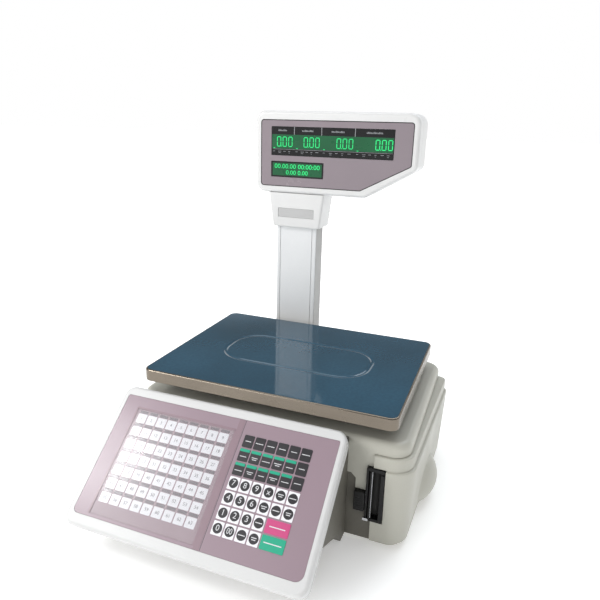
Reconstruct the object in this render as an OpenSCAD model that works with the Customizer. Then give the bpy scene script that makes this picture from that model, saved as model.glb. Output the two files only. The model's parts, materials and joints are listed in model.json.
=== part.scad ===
// Label printing scale: base with load cell and side printer, sloping
// keyboard console, weighing pan, and a display head on a rear pole.
// X is the width, Y runs from the keyboard to the pole, Z is up.

/* [Pan] */
// Width of the weighing pan
pan_w = 350; // [346:1:354]
// Depth of the weighing pan
pan_d = 265; // [261:1:268]
// Height of the weighing surface above the table
pan_top = 186; // [184:1:188]
// Height of the pan's turned-down rim
pan_rim = 16; // [14:1:18]
// Sheet thickness of the pan
pan_t = 1.2; // [1:0.1:1.5]

/* [Base] */
// Height of the base cover's top
base_top = 148; // [147:0.5:149]
// Wall thickness of the plastic housings
wall = 3; // [2.5:0.1:3.2]
// Radius of the base's upright corners
base_corner = 22; // [18:1:24]
// How far the printer door's bulge stands out of its skin
dome_proud = 14; // [10:1:18]
// Half length of the bulge where it meets the door's skin
dome_half = 46; // [42:1:52]
// Half height of the bulge where it meets the door's skin
dome_rise = 29; // [26:1:32]

/* [Keyboard] */
// Width of the console's top face
console_w = 312; // [308:1:314]
// Length of the console's top face down the slope
console_l = 184; // [182:1:186]
// Slope of the console's top face
console_tilt = 39.7; // [39:0.1:40.5]
// Thickness of the console
console_t = 22; // [21:0.5:24]

/* [Display] */
// Height of the display head's lower edge
head_low = 401; // [400:0.5:402]
// Height of the display head's upper edge
head_high = 527; // [525:1:530]
// Front to back size of the display head
head_d = 70; // [64:1:74]
// Width of the pole
pole_w = 70; // [68:1:72]
// Front to back size of the pole
pole_d = 33; // [32:0.5:34]

/* [Printer] */
// Outer radius of the label roll
roll_r = 46; // [40:1:48]
// Width of the label paper
paper_w = 60; // [58:1:60]
// Radius of the platen roller
platen_r = 8; // [7.5:0.1:8]
// Tooth module of the feed gears
gear_m = 1; // [1]
// Teeth on the platen gear
platen_teeth = 12; // [12]
// Teeth on the idler gear
idler_teeth = 40; // [40]
// Teeth on the motor pinion
pinion_teeth = 14; // [14]

/* [Hidden] */

$fn = 64;
gap = 0.3;
eps = 0.01;

// Base plan and levels
base_x0 = -188;
base_x1 = 190;
base_y0 = -124.5;
base_y1 = 150;
tray_z0 = 5;
tray_z1 = 30;
tray_floor = tray_z0 + wall;
tray_inset = 1;
cover_edge = 9;
cover_z0 = tray_z1 + 0.05;
skirt_front = base_y0 + 2.5;
skirt_t = 2;
skirt_x0 = -150;
skirt_z1 = 98;

inlet_x = -150;
switch_x = -125;
socket_screws = [[-109.5, 50], [-109.5, 116], [-19.5, 50], [-19.5, 116]];
level_x = -150;
level_y = 60;

// Printer door
door_x0 = 149.6;
door_y1 = 134;
door_z0 = 9;
door_z1 = 130.5;
door_step = 113;
door_out = [8, 6.5];
band_out = [4.5, 3.5];
hinge_x = 194;
hinge_y = 141;
hinge_r = 2.5;
hinge_levels = [38, 90];
hinge_l = 20;
knuckle_r = 4;
ear_t = 5.6;
dome_y = 5;
dome_z = 30.5;

// Printer mechanism
platen_x = 152;
platen_y = -112;
slot_z0 = 38;
slot_z1 = 113;
deck_z = 36;
deck_t = 2;
paper_z = 44;
gear_z = 27;
gear_t = 5;
bay_x = 85;
head_x1 = platen_x - platen_r - 0.5;
head_pivot = [133, -70];
head_y0_front = -116;
spindle_x = 137;
spindle_y = 22;
core_r = 20;
platen_pitch = gear_m * platen_teeth / 2;
idler_pitch = gear_m * idler_teeth / 2;
pinion_pitch = gear_m * pinion_teeth / 2;
idler_angle = 128;
idler_x = platen_x + (platen_pitch + idler_pitch) * cos(idler_angle);
idler_y = platen_y + (platen_pitch + idler_pitch) * sin(idler_angle);
motor_x = idler_x - idler_pitch - pinion_pitch;
motor_y = idler_y;
spool_x = 105;
spool_y = -44;
pulley_r = 8;
belt_z = 15;
belt_w = 6;

// Keyboard console
console_x0 = -192;
console_top_y = -140.55;
console_top_z = pan_top - 23.1;
console_r = 14;
panel_x0 = -184.1;
panel_x1 = 112.8;
panel_y0 = -169.9;
panel_y1 = -12.9;
panel_r = 7;
key_cols = 6;
key_rows = 7;
key_x0 = -3.8;
key_y1 = -31;
key_dx = 14.9;
key_dy = 17.15;
key_w = 13.3;
key_l = 15.3;
plu_x0 = -162;
plu_x1 = -18;
plu_y0 = -166;
plu_y1 = -28;

// Pole and display head
pole_x0 = -99.5;
pole_y0 = 150.5;
pole_z0 = 60;
pole_z1 = 396;
neck_z0 = 346;
neck_z1 = 400.7;
head_x0 = -133.5;
head_x1_out = 127.5;
head_y0 = 138.5;
head_cut_x = 50;
head_cut_z = 446;
head_r = 16;
window_x0 = -124.5;
window_x1 = 119;
window_z0 = 411;
window_z1 = 514;
window_cut_x = 42.5;
window_cut_z = 451;
lcd_x0 = -106.4;
lcd_x1 = 91;
lcd_z0 = 459.5;
lcd_z1 = 503.5;
date_x0 = -106.5;
date_x1 = -18;
date_z0 = 426;
date_z1 = 450.5;

// The pan's centre is (0, 0) while the parts are drawn; the whole object is
// then moved so that the middle of its footprint is at the origin.
shift_x = -(console_x0 + base_x1 + door_out[0] + dome_proud) / 2;
shift_y = -(console_top_y - console_l * cos(console_tilt) + head_y0 + head_d) / 2;

// ---------- helpers ----------

module place() {
    translate([shift_x, shift_y, 0]) children();
}

// Block between two opposite corners
module block(a, b) {
    translate(a) cube(b - a);
}

// Flat rectangle with round corners, between two opposite corners
module round_rect(a, b, r) {
    translate([a[0] + r, a[1]]) square([b[0] - a[0] - 2 * r, b[1] - a[1]]);
    translate([a[0], a[1] + r]) square([b[0] - a[0], b[1] - a[1] - 2 * r]);
    for (x = [a[0] + r, b[0] - r], y = [a[1] + r, b[1] - r])
        translate([x, y]) circle(r);
}

// Upright slab of a flat outline between two heights
module slab(z0, z1) {
    translate([0, 0, z0]) linear_extrude(z1 - z0) children();
}

// Extrudes an outline drawn in X and Z from y0 back to y1
module upright(y0, y1) {
    translate([0, y1, 0]) rotate([90, 0, 0]) linear_extrude(y1 - y0) children();
}

// Upright rod
module rod(x, y, z0, z1, r) {
    translate([x, y, z0]) cylinder(h = z1 - z0, r = r);
}

// Rod along Y
module rod_y(x, z, y0, y1, r) {
    translate([x, y0, z]) rotate([-90, 0, 0]) cylinder(h = y1 - y0, r = r);
}

// Straight gear outline with plain tapered teeth
module gear_outline(teeth, m) {
    root = m * teeth / 2 - 1.15 * m;
    tip = m * teeth / 2 + 0.8 * m;
    half_root = 0.29 * 360 / teeth;
    half_tip = 0.13 * 360 / teeth;
    circle(root);
    for (i = [0:teeth - 1])
        rotate(i * 360 / teeth)
            polygon([
                [(root - 0.4) * cos(half_root), -(root - 0.4) * sin(half_root)],
                [root * cos(half_root), -root * sin(half_root)],
                [tip * cos(half_tip), -tip * sin(half_tip)],
                [tip * cos(half_tip), tip * sin(half_tip)],
                [root * cos(half_root), root * sin(half_root)],
                [(root - 0.4) * cos(half_root), (root - 0.4) * sin(half_root)]]);
}

// Base plan, grown outwards by side on X and front on Y
module base_plan(side, front) {
    round_rect([base_x0 - side, base_y0 - front], [base_x1 + side, base_y1 + side],
        base_corner + min(side, front));
}

// Part of the plan that the printer door covers
module door_region() {
    translate([door_x0, base_y0 - 20]) square([80, door_y1 - base_y0 + 20]);
}

module door_ring(out, inner) {
    intersection() {
        difference() {
            base_plan(out[0], out[1]);
            base_plan(inner[0], inner[1]);
        }
        door_region();
    }
}

// The console's own frame: its back top edge is X, Y climbs the slope
module on_console() {
    translate([0, console_top_y, console_top_z]) rotate([console_tilt, 0, 0]) children();
}

module console_plan(inset) {
    round_rect([console_x0 + inset, -console_l + inset], [console_x0 + console_w - inset, -inset],
        console_r - inset);
}

// Round rectangle with its lower right corner cut off, drawn in X and Z
module cut_outline(x0, x1, z0, z1, cx, cz, r) {
    difference() {
        round_rect([x0, z0], [x1, z1], r);
        polygon([[cx, z0 - 1], [cx, z0], [x1, cz], [x1 + 1, cz], [x1 + 1, z0 - 1]]);
    }
}

module head_outline(inset) {
    cut_outline(head_x0 + inset, head_x1_out - inset, head_low + inset, head_high - inset,
        head_cut_x - 0.2 * inset, head_cut_z + 0.75 * inset, head_r - inset * 0.8);
}

module window_outline(inset) {
    cut_outline(window_x0 + inset, window_x1 - inset, window_z0 + inset, window_z1 - inset,
        window_cut_x - 0.2 * inset, window_cut_z + 0.75 * inset, 5);
}

// Points of a coil's centre line and the tube around it
function coil_point(r, pitch, a) = [r * cos(a), r * sin(a), pitch * a / 360];

module coil(r, wire, pitch, turns) {
    steps = 16;
    sides = 6;
    n = turns * steps;
    points = [for (i = [0:n], j = [0:sides - 1])
        let (a = i * 360 / steps, b = j * 360 / sides, q = coil_point(r, pitch, a))
        [q[0] + wire * cos(b) * cos(a), q[1] + wire * cos(b) * sin(a), q[2] + wire * sin(b)]];
    skin = [for (i = [0:n - 1], j = [0:sides - 1])
        let (k = (j + 1) % sides)
        [i * sides + j, i * sides + k, (i + 1) * sides + k, (i + 1) * sides + j]];
    ends = [[for (j = [sides - 1:-1:0]) j], [for (j = [0:sides - 1]) n * sides + j]];
    polyhedron(points, concat(skin, ends), convexity = 10);
}

// ---------- base ----------

foot_spots = [[-150, -95], [150, -95], [-150, 125], [150, 125]];

module base_tray() {
    boss_r = 9;
    color("ivory") place() difference() {
        union() {
            slab(tray_z0, tray_z1) difference() {
                base_plan(-tray_inset, -tray_inset);
                base_plan(-tray_inset - wall, -tray_inset - wall);
            }
            slab(tray_z0, tray_floor) base_plan(-tray_inset, -tray_inset);
            for (p = foot_spots)
                rod(p[0], p[1], tray_z0, 24, boss_r);
        }
        for (p = foot_spots)
            rod(p[0], p[1], tray_z0 - 1, 22, 4.05);
        // the grey skirt runs down over the front edge
        block([skirt_x0 - 0.4, base_y0 - 1, tray_z0 - 1],
            [door_x0 - 0.2, skirt_front + skirt_t + 0.1, tray_z1 + 1]);
        // cooling slots under the power supply
        for (i = [0:5])
            block([-170, 80 + i * 9, 0], [-110, 84 + i * 9, tray_floor + 1]);
    }
}

module cover_shape(inset) {
    x0 = base_x0 + inset;
    x1 = base_x1 - inset;
    y0 = base_y0 + inset;
    y1 = base_y1 - inset;
    top = base_top - inset;
    r = cover_edge - inset * 0.9;
    intersection() {
        slab(cover_z0 - eps, top) base_plan(-inset, -inset);
        upright(y0 - 1, y1 + 1) round_rect([x0, cover_z0 - 40], [x1, top], r);
        translate([x0 - 1, 0, 0]) rotate([90, 0, 90]) linear_extrude(x1 - x0 + 2)
            round_rect([y0, cover_z0 - 40], [y1, top], r);
    }
}

post_spots = [[-110, -75], [110, -75], [-110, 75], [110, 75]];

cover_posts = [[-170, -100], [-170, 40], [60, -105], [72, 128]];

module skirt_shape(grow) {
    polygon([[skirt_x0 - grow, tray_z0 + 0.2], [door_x0 - 0.6, tray_z0 + 0.2], [door_x0 - 0.6, 50 + grow],
        [127 + grow, 50 + grow], [127 + grow, skirt_z1 - 6], [121, skirt_z1 + grow],
        [skirt_x0 - grow, skirt_z1 + grow]]);
}

module base_cover() {
    color("ivory") place() difference() {
        cover_shape(0);
        difference() {
            cover_shape(wall);
            // screw posts up to the cover
            for (p = cover_posts)
                rod(p[0], p[1], cover_z0 - 5, base_top, 5);
        }
        for (p = cover_posts)
            rod(p[0], p[1], cover_z0 - 5, 60, 1.6);
        // holes for the four pan posts
        for (p = post_spots)
            rod(p[0], p[1], base_top - 20, base_top + 1, 11);
        // level window
        rod(level_x, level_y, base_top - 20, base_top + 1, 11);
        // printer bay, closed by the door
        block([door_x0 - 0.6, base_y0 - 1, cover_z0 - 1], [base_x1 + 1, base_y0 + 12, door_z1 + 0.5]);
        block([base_x1 - 12, base_y0 - 1, cover_z0 - 1], [base_x1 + 1, door_y1 + 3, door_z1 + 0.5]);
        // label slot beside the door
        block([141.4, base_y0 - 1, slot_z0 - 0.5], [door_x0, base_y0 + 12, slot_z1 + 0.5]);
        // opening of the latch
        block([127, base_y0 - 1, 50], [142, base_y0 + 12, 78]);
        // slots for the hinge ears
        for (z = hinge_levels, s = [-ear_t - gap, hinge_l + gap])
            block([160, hinge_y - 2.4, z + s - 0.2],
                [196, hinge_y + knuckle_r + 0.4, z + s + ear_t + 0.2]);
        // recess for the grey skirt
        upright(base_y0 - 1, base_y0 + 12) skirt_shape(0.4);
        // rear connectors
        block([inlet_x - 14.4, base_y1 - 5, 49.6], [inlet_x + 14.4, base_y1 + 1, 72.4]);
        block([switch_x - 7.3, base_y1 - 5, 49.6], [switch_x + 7.3, base_y1 + 1, 72.4]);
        block([-14.3, base_y1 - 5, 43.6], [60.3, base_y1 + 1, 66.4]);
        // cable way into the pole
        rod_y(-64.5, 100, base_y1 - 5, base_y1 + 1, 8);
        // socket screws
        for (p = socket_screws)
            rod_y(p[0], p[1], base_y1 - 5, base_y1 + 1, 2.2);
    }
}

module front_skirt() {
    color("dimgray") place() difference() {
        upright(skirt_front, skirt_front + skirt_t) skirt_shape(0);
        // cable hole into the console support
        rod_y(-30, 60, base_y0, base_y0 + 12, 8);
    }
}

module foot(i) {
    color("black") place() translate([foot_spots[i][0], foot_spots[i][1], 0]) {
        rotate_extrude() polygon([[0, 0], [14, 0], [15, 1], [15, 3], [13.5, 4.6], [0, 4.6]]);
        cylinder(h = 20, r = 4);
    }
}

module bubble_level() {
    color("palegreen") place() translate([level_x, level_y, 0]) rotate_extrude()
        polygon([[0, base_top - 8], [10.7, base_top - 8], [10.7, base_top], [12.5, base_top],
            [12.5, base_top + 1.4], [8, base_top + 1.4], [8, base_top + 0.6], [0, base_top + 0.6]]);
}

module housing_screws() {
    color("silver") place() {
        // base cover screws from below
        for (p = cover_posts)
            rod(p[0], p[1], tray_floor, 50, 1.5);
        // pole socket screws
        for (p = socket_screws) {
            rod_y(p[0], p[1], base_y1 - 10, base_y1 + 6, 2);
            rod_y(p[0], p[1], base_y1 + 4, base_y1 + 6.2, 4);
        }
        // pole clamp screws in the socket's back wall
        for (z = [84, 110])
            rod_y(-64.5, z, pole_y0 + pole_d + 0.2, pole_y0 + pole_d + 7, 3);
    }
}

// ---------- printer door ----------

// Long round bulge, turned about an axis along the door's side
module dome(grow) {
    long_r = (dome_half * dome_half + dome_proud * dome_proud) / (2 * dome_proud);
    cross_r = (dome_rise * dome_rise + dome_proud * dome_proud) / (2 * dome_proud);
    translate([base_x1 + door_out[0] + dome_proud - cross_r, dome_y, dome_z])
        rotate([-90, 0, 0])
            rotate_extrude($fn = 96) intersection() {
                translate([cross_r - long_r, 0]) circle(long_r + grow);
                translate([0, -90]) square([60, 180]);
            }
}

module printer_door() {
    lip = 1;
    color("ivory") place() difference() {
        union() {
            slab(door_z0, door_step) door_ring(door_out, [door_out[0] - wall, door_out[1] - wall]);
            slab(door_step - wall, door_z1)
                door_ring(band_out, [band_out[0] - wall, band_out[1] - wall]);
            slab(door_step - wall, door_step) door_ring(door_out, [lip, lip]);
            slab(door_z1 - wall, door_z1) door_ring(band_out, [lip - 3, lip - 2]);
            slab(door_z0, door_z0 + wall) door_ring(door_out, [lip + 0.5, lip + 0.5]);
            intersection() {
                dome(0);
                block([base_x1 + door_out[0] - wall, -100, door_z0], [base_x1 + 40, 120, 100]);
            }
            // hinge knuckles
            for (z = hinge_levels)
                rod(hinge_x, hinge_y, z, z + hinge_l, knuckle_r);
            for (z = hinge_levels)
                block([hinge_x, door_y1 - 2, z], [hinge_x + knuckle_r, hinge_y, z + hinge_l]);
        }
        intersection() {
            dome(-wall);
            block([base_x1 + 3, -100, door_z0 + wall], [base_x1 + 40, 120, 100]);
        }
        // notch round the label slot
        block([door_x0 - 1, base_y0 - 12, slot_z0 - 1], [165, base_y0 + 12, slot_z1 + 1]);
        for (z = hinge_levels)
            rod(hinge_x, hinge_y, z - 1, z + hinge_l + 1, hinge_r);
    }
}

module hinge_pins() {
    color("silver") place()
        for (z = hinge_levels)
            rod(hinge_x, hinge_y, z - 6, z + hinge_l + 6, hinge_r - 0.05);
}

module hinge_brackets() {
    color("ivory") place() difference() {
        union() {
            for (z = hinge_levels, s = [-ear_t - gap, hinge_l + gap]) {
                rod(hinge_x, hinge_y, z + s, z + s + ear_t, knuckle_r);
                block([162, hinge_y - 2, z + s], [hinge_x, hinge_y + knuckle_r, z + s + ear_t]);
            }
            // plate screwed inside the cover's rear corner
            block([162, hinge_y + 2, 31], [174, hinge_y + knuckle_r, 122]);
        }
        for (z = hinge_levels)
            rod(hinge_x, hinge_y, z - 7, z + hinge_l + 7, hinge_r);
    }
}

module door_latch() {
    color("black") place() {
        block([127.4, base_y0 - 6.5, 50.4], [141, base_y0 + 1, 77.5]);
        block([129, base_y0 + 1, 60.5], [139, base_y0 + 3.5, 68.5]);
    }
}

// ---------- printer ----------

module print_faceplate() {
    x0 = 141.7;
    color("black") place() difference() {
        union() {
            block([x0, base_y0 - 5, slot_z0], [163.6, base_y0 + 2.5, slot_z1]);
            block([159.6, base_y0 - 6.5, slot_z0 + 3], [164.4, base_y0 + 2.5, slot_z1 - 6]);
        }
        block([144.6, base_y0 - 8, slot_z0 + 4], [159.2, base_y0 + 8, slot_z1 - 4]);
    }
}

module printer_chassis() {
    y0 = base_y0 + 7;
    bay_y1 = 92;
    color("gainsboro") place() difference() {
        union() {
            // deck, wall and top bearing plate
            block([bay_x, y0, deck_z], [184, bay_y1, deck_z + deck_t]);
            block([bay_x, y0, deck_z], [bay_x + 2, bay_y1, 124]);
            block([bay_x, y0, 122], [166, -50, 124]);
            // legs down to the tray
            for (p = [[92, -111], [92, -12], [95, 84], [178, -60], [178, 84]])
                rod(p[0], p[1], tray_floor, deck_z, 4);
            // pivot pin of the print head
            rod(head_pivot[0], head_pivot[1], deck_z, 122, 2.45);
            // idler stub under the deck
            rod(idler_x, idler_y, gear_z - 2, deck_z, 2.95);
            rod(idler_x, idler_y, gear_z - 3, gear_z - 0.6, 4);
            // lever stub
            rod(112, -62, 122, 130, 2.95);
        }
        // platen bearings
        rod(platen_x, platen_y, deck_z - 1, deck_z + deck_t + 1, 3);
        rod(platen_x, platen_y, 121, 125, 3);
        // motor and spool shaft holes
        rod(motor_x, motor_y, deck_z - 1, deck_z + deck_t + 1, 5);
        rod(spool_x, spool_y, deck_z - 1, deck_z + deck_t + 1, 3);
        rod(spool_x, spool_y, 121, 125, 3);
    }
}

module platen_roller() {
    color("#222222") place() difference() {
        rod(platen_x, platen_y, 41, 111, platen_r);
        rod(platen_x, platen_y, 40, 112, 4);
    }
}

module platen_shaft() {
    color("silver") place() {
        rod(platen_x, platen_y, 40, 112, 4);
        rod(platen_x, platen_y, gear_z, 40, 2.95);
        rod(platen_x, platen_y, 112, 127, 2.95);
    }
}

module platen_gear() {
    color("white") place() translate([platen_x, platen_y, gear_z])
        difference() {
            linear_extrude(gear_t) rotate(idler_angle) gear_outline(platen_teeth, gear_m);
            translate([0, 0, -1]) cylinder(h = gear_t + 2, r = 2.95);
        }
}

// Angle that puts a tooth gap of the idler on the platen gear's tooth
idler_phase = idler_angle + 180 + 180 / idler_teeth;
// How far round one idler pitch the line to the pinion lies
pinion_share = (180 - idler_phase) * idler_teeth / 360
    - floor((180 - idler_phase) * idler_teeth / 360);
pinion_phase = (pinion_share + 0.5) * 360 / pinion_teeth;

module idler_gear() {
    color("white") place() translate([idler_x, idler_y, gear_z])
        difference() {
            linear_extrude(gear_t) rotate(idler_phase) gear_outline(idler_teeth, gear_m);
            translate([0, 0, -1]) cylinder(h = gear_t + 2, r = 3);
        }
}

module print_motor() {
    half = 14;
    color("darkgray") place() difference() {
        union() {
            slab(deck_z + deck_t, 70)
                round_rect([motor_x - half, motor_y - half], [motor_x + half, motor_y + half], 3);
            rod(motor_x, motor_y, deck_z - 1, deck_z + deck_t, 4.9);
        }
        rod(motor_x, motor_y, deck_z - 2, 60, 2.05);
    }
}

module motor_pinion() {
    color("silver") place() translate([motor_x, motor_y, 0]) {
        translate([0, 0, gear_z]) linear_extrude(gear_t) rotate(pinion_phase)
            gear_outline(pinion_teeth, gear_m);
        translate([0, 0, belt_z - 1]) cylinder(h = 55 - belt_z, r = 2);
        translate([0, 0, belt_z - 1]) cylinder(h = belt_w + 2, r = pulley_r);
    }
}

module takeup_belt() {
    run = [spool_x - motor_x, spool_y - motor_y];
    length = norm(run);
    r_in = pulley_r + gap;
    r_out = r_in + 1.4;
    color("#333333") place() translate([motor_x, motor_y, belt_z])
        rotate(atan2(run[1], run[0])) linear_extrude(belt_w) difference() {
            union() {
                circle(r_out);
                translate([length, 0]) circle(r_out);
                translate([0, -r_out]) square([length, 2 * r_out]);
            }
            circle(r_in);
            translate([length, 0]) circle(r_in);
            translate([0, -r_in]) square([length, 2 * r_in]);
        }
}

module takeup_spool() {
    color("gray") place() translate([spool_x, spool_y, 0]) {
        translate([0, 0, paper_z - 3]) cylinder(h = 2.5, r = 17);
        translate([0, 0, paper_z - 3]) cylinder(h = paper_w + 6, r = 9);
        translate([0, 0, belt_z - 1]) cylinder(h = 127 - belt_z, r = 2.95);
        translate([0, 0, belt_z - 1]) cylinder(h = belt_w + 2, r = pulley_r);
    }
}

module head_bracket() {
    color("silver") place() difference() {
        union() {
            rod(head_pivot[0], head_pivot[1], paper_z - 3, paper_z + paper_w + 3, 4.5);
            block([134.6, head_y0_front, paper_z - 3], [137.6, head_pivot[1], paper_z + paper_w + 3]);
        }
        rod(head_pivot[0], head_pivot[1], paper_z - 4, paper_z + paper_w + 4, 2.5);
    }
}

module thermal_head() {
    color("saddlebrown") place() {
        // ceramic strip and its aluminium heat sink
        block([137.6, head_y0_front, paper_z - 2], [head_x1 - 1.2, -94, paper_z + paper_w + 2]);
        block([head_x1 - 1.2, head_y0_front, paper_z], [head_x1, -106, paper_z + paper_w]);
    }
}

module head_spring() {
    color("silver") place() translate([head_pivot[0], head_pivot[1], paper_z + paper_w + 4.5])
        coil(3.8, 0.5, 1.6, 6);
}

module release_lever() {
    color("royalblue") place() difference() {
        slab(124.3, 128) union() {
            translate([112, -62]) circle(7);
            translate([112, -67]) square([30, 10]);
            translate([142, -62]) circle(5);
        }
        rod(112, -62, 124, 129, 3);
    }
}

module guide_post() {
    color("silver") place() {
        rod(web_x + post_r + gap, web_bend_y - (post_r + gap) * tan((90 - web_turn) / 2),
            deck_z + deck_t, 112, post_r);
    }
}

module roll_spindle() {
    color("white") place() difference() {
        union() {
            rod(spindle_x, spindle_y, deck_z + deck_t, 108, 12);
            rod(spindle_x, spindle_y, deck_z + deck_t, paper_z - 1, 30);
        }
        rod(spindle_x, spindle_y, 50, 109, 9);
    }
}

module label_roll() {
    color("white") place() difference() {
        rod(spindle_x, spindle_y, paper_z, paper_z + paper_w, roll_r);
        rod(spindle_x, spindle_y, paper_z - 1, paper_z + paper_w + 1, core_r);
    }
}

// The web leaves the roll's right side, bends at the guide post and runs
// forward between print head and platen.
post_r = 6;
web_t = 0.3;
web_x = 144.3;
web_bend_y = -60;
web_to_roll = [spindle_x - web_x, spindle_y - web_bend_y];
web_reach = norm(web_to_roll);
web_turn = atan2(web_to_roll[1], web_to_roll[0]) - asin((roll_r + 0.8) / web_reach);
web_len = sqrt(web_reach * web_reach - (roll_r + 0.8) * (roll_r + 0.8));

module label_web() {
    color("whitesmoke") place() {
        block([web_x - web_t, -96, paper_z], [web_x, web_bend_y, paper_z + paper_w]);
        slab(paper_z, paper_z + paper_w) polygon([
            [web_x, web_bend_y - 0.5],
            [web_x - web_t, web_bend_y - 0.5],
            [web_x - web_t + web_len * cos(web_turn), web_bend_y + 0.2 + web_len * sin(web_turn)],
            [web_x + web_len * cos(web_turn), web_bend_y + web_len * sin(web_turn)]]);
    }
}

// ---------- weighing ----------

module pan_plan(inset) {
    round_rect([-pan_w / 2 + inset, -pan_d / 2 + inset], [pan_w / 2 - inset, pan_d / 2 - inset],
        12 - inset);
}

// Long rounded outline pressed into the pan
module race_track(grow) {
    half_x = 112 + grow;
    half_y = 53 + grow;
    round_rect([-half_x, -half_y], [half_x, half_y], 44 + grow);
}

module pan() {
    color("steelblue") place() difference() {
        slab(pan_top - pan_rim, pan_top) pan_plan(0);
        slab(pan_top - pan_rim - 1, pan_top - pan_t) pan_plan(pan_t);
        slab(pan_top - 0.5, pan_top + 1) difference() {
            race_track(0);
            race_track(-8);
        }
    }
}

module pan_spider() {
    color("silver") place() {
        slab(131, 135) {
            for (s = [-1, 1])
                rotate(s * atan2(75, 110)) translate([-133, -12]) square([266, 24]);
            translate([-25, -80]) square([50, 160]);
        }
        for (p = post_spots)
            rod(p[0], p[1], 135, pan_top - pan_t - 5.5, 7);
        // foot on the load cell's free end
        block([-20, -75, 122], [20, -42, 131]);
    }
}

module pan_pads() {
    color("black") place()
        for (p = post_spots)
            rod(p[0], p[1], pan_top - pan_t - 5.5, pan_top - pan_t - 0.1, 9);
}

module load_cell() {
    color("lightgray") place() difference() {
        block([-20, -75, 92], [20, 75, 122]);
        // thinned flexures
        for (y = [-22, 22])
            translate([-21, y, 107]) rotate([0, 90, 0]) cylinder(h = 42, r = 12);
        block([-21, -22, 99], [21, 22, 115]);
        for (x = [-10, 10], y = [-66, -50, 50, 66])
            rod(x, y, 91, 123, 3.2);
    }
}

module cell_pedestal() {
    color("gray") place() {
        block([-40, -90, tray_floor], [40, 95, 16]);
        block([-20, 42, 16], [20, 75, 92]);
        for (x = [-20, 14])
            block([x, -20, 16], [x + 6, 42, 60]);
    }
}

module cell_bolts() {
    color("silver") place() {
        for (x = [-10, 10], y = [50, 66]) {
            rod(x, y, 92, 122, 3);
            rod(x, y, 122, 127.5, 5);
        }
        for (x = [-10, 10], y = [-66, -50]) {
            rod(x, y, 92, 122, 3);
            rod(x, y, 86.5, 92, 5);
        }
        // overload stop under the free end
        rod(0, -58, 16, 84, 4);
        rod(0, -58, 16, 24, 8);
    }
}

// ---------- keyboard console ----------

module console_top() {
    shell = 3;
    color("white") place() on_console() difference() {
        slab(-13, 0) console_plan(0);
        slab(-14, -shell) console_plan(shell);
        // seat of the overlay
        slab(-1.2, 1) round_rect([panel_x0, panel_y0], [panel_x1, panel_y1], panel_r);
        // cable way to the board
        block([-120, -100, -4], [-90, -80, 1]);
    }
}

module console_bottom() {
    shell = 3;
    color("white") place() on_console() difference() {
        union() {
            slab(-console_t + 5, -13) console_plan(0);
            slab(-console_t, -console_t + 5) console_plan(4);
        }
        slab(-console_t + shell, -12) console_plan(shell + 4);
        slab(-console_t + 5, -12) console_plan(shell);
        // cable way to the base
        block([-50, -60, -console_t - 1], [-20, -40, -10]);
    }
}

module console_overlay() {
    color("#a7919c") place() on_console() difference() {
        slab(-1.2, -0.2) round_rect([panel_x0 + 0.2, panel_y0 + 0.2], [panel_x1 - 0.2, panel_y1 - 0.2],
            panel_r);
        block([plu_x0, plu_y0, -0.9], [plu_x1, plu_y1, 1]);
    }
}

module plu_sheet() {
    color("white") place() on_console()
        block([plu_x0 + 0.5, plu_y0 + 0.5, -0.9], [plu_x1 - 0.5, plu_y1 - 0.5, -0.6]);
}

module plu_cover() {
    color("lightblue", 0.4) place() on_console()
        block([plu_x0 + 0.5, plu_y0 + 0.5, -0.6], [plu_x1 - 0.5, plu_y1 - 0.5, 0]);
}

module keypad_keys() {
    color("#3c3840") place() on_console()
        for (c = [0:key_cols - 1], r = [0:key_rows - 1])
            if (c < 5 || r < 5)
                translate([key_x0 + c * key_dx, key_y1 - r * key_dy - key_l, -0.2])
                    cube([c == 4 && r > 4 ? key_dx + key_w : key_w, key_l, 0.5]);
}

module console_board() {
    color("seagreen") place() on_console()
        block([-180, -165, -9], [108, -20, -7.4]);
}

module console_support() {
    // Side outline: back wall, foot, sloping front and the console's underside
    under = console_t / cos(console_tilt);
    function under_z(y) = console_top_z + (y - console_top_y) * tan(console_tilt) - under;
    outline = [[skirt_front, tray_z0], [-140, tray_z0], [-152, 24], [-228, under_z(-228) - eps],
        [base_y0, under_z(base_y0) - eps], [base_y0, skirt_z1], [skirt_front, skirt_z1]];
    color("gray") place() difference() {
        translate([-112, 0, 0]) rotate([90, 0, 90]) linear_extrude(228.5) polygon(outline);
        translate([-109, 0, 0]) rotate([90, 0, 90]) linear_extrude(222.5)
            polygon([[base_y0 + 4, 8], [-138.2, 8], [-149, 26], [-219, under_z(-219) - 5],
                [base_y0 - 4, under_z(base_y0 - 4) - 9], [base_y0 + 4, 90]]);
        // cable way up into the console
        block([-50, -200, 60], [-20, -160, 130]);
    }
}

// ---------- pole and display head ----------

module pole() {
    x1 = pole_x0 + pole_w;
    y1 = pole_y0 + pole_d;
    web = 2;
    color("white") place() slab(pole_z0, pole_z1) difference() {
        round_rect([pole_x0, pole_y0], [x1, y1], 2);
        for (i = [0:2]) {
            cell = (pole_w - 4 * web) / 3;
            translate([pole_x0 + web + i * (cell + web), pole_y0 + web])
                square([cell, pole_d - 2 * web]);
        }
        // grooves down the front face
        for (x = [pole_x0 + 6, x1 - 8])
            translate([x, pole_y0 - 1]) square([1.6, 1.8]);
    }
}

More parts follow.
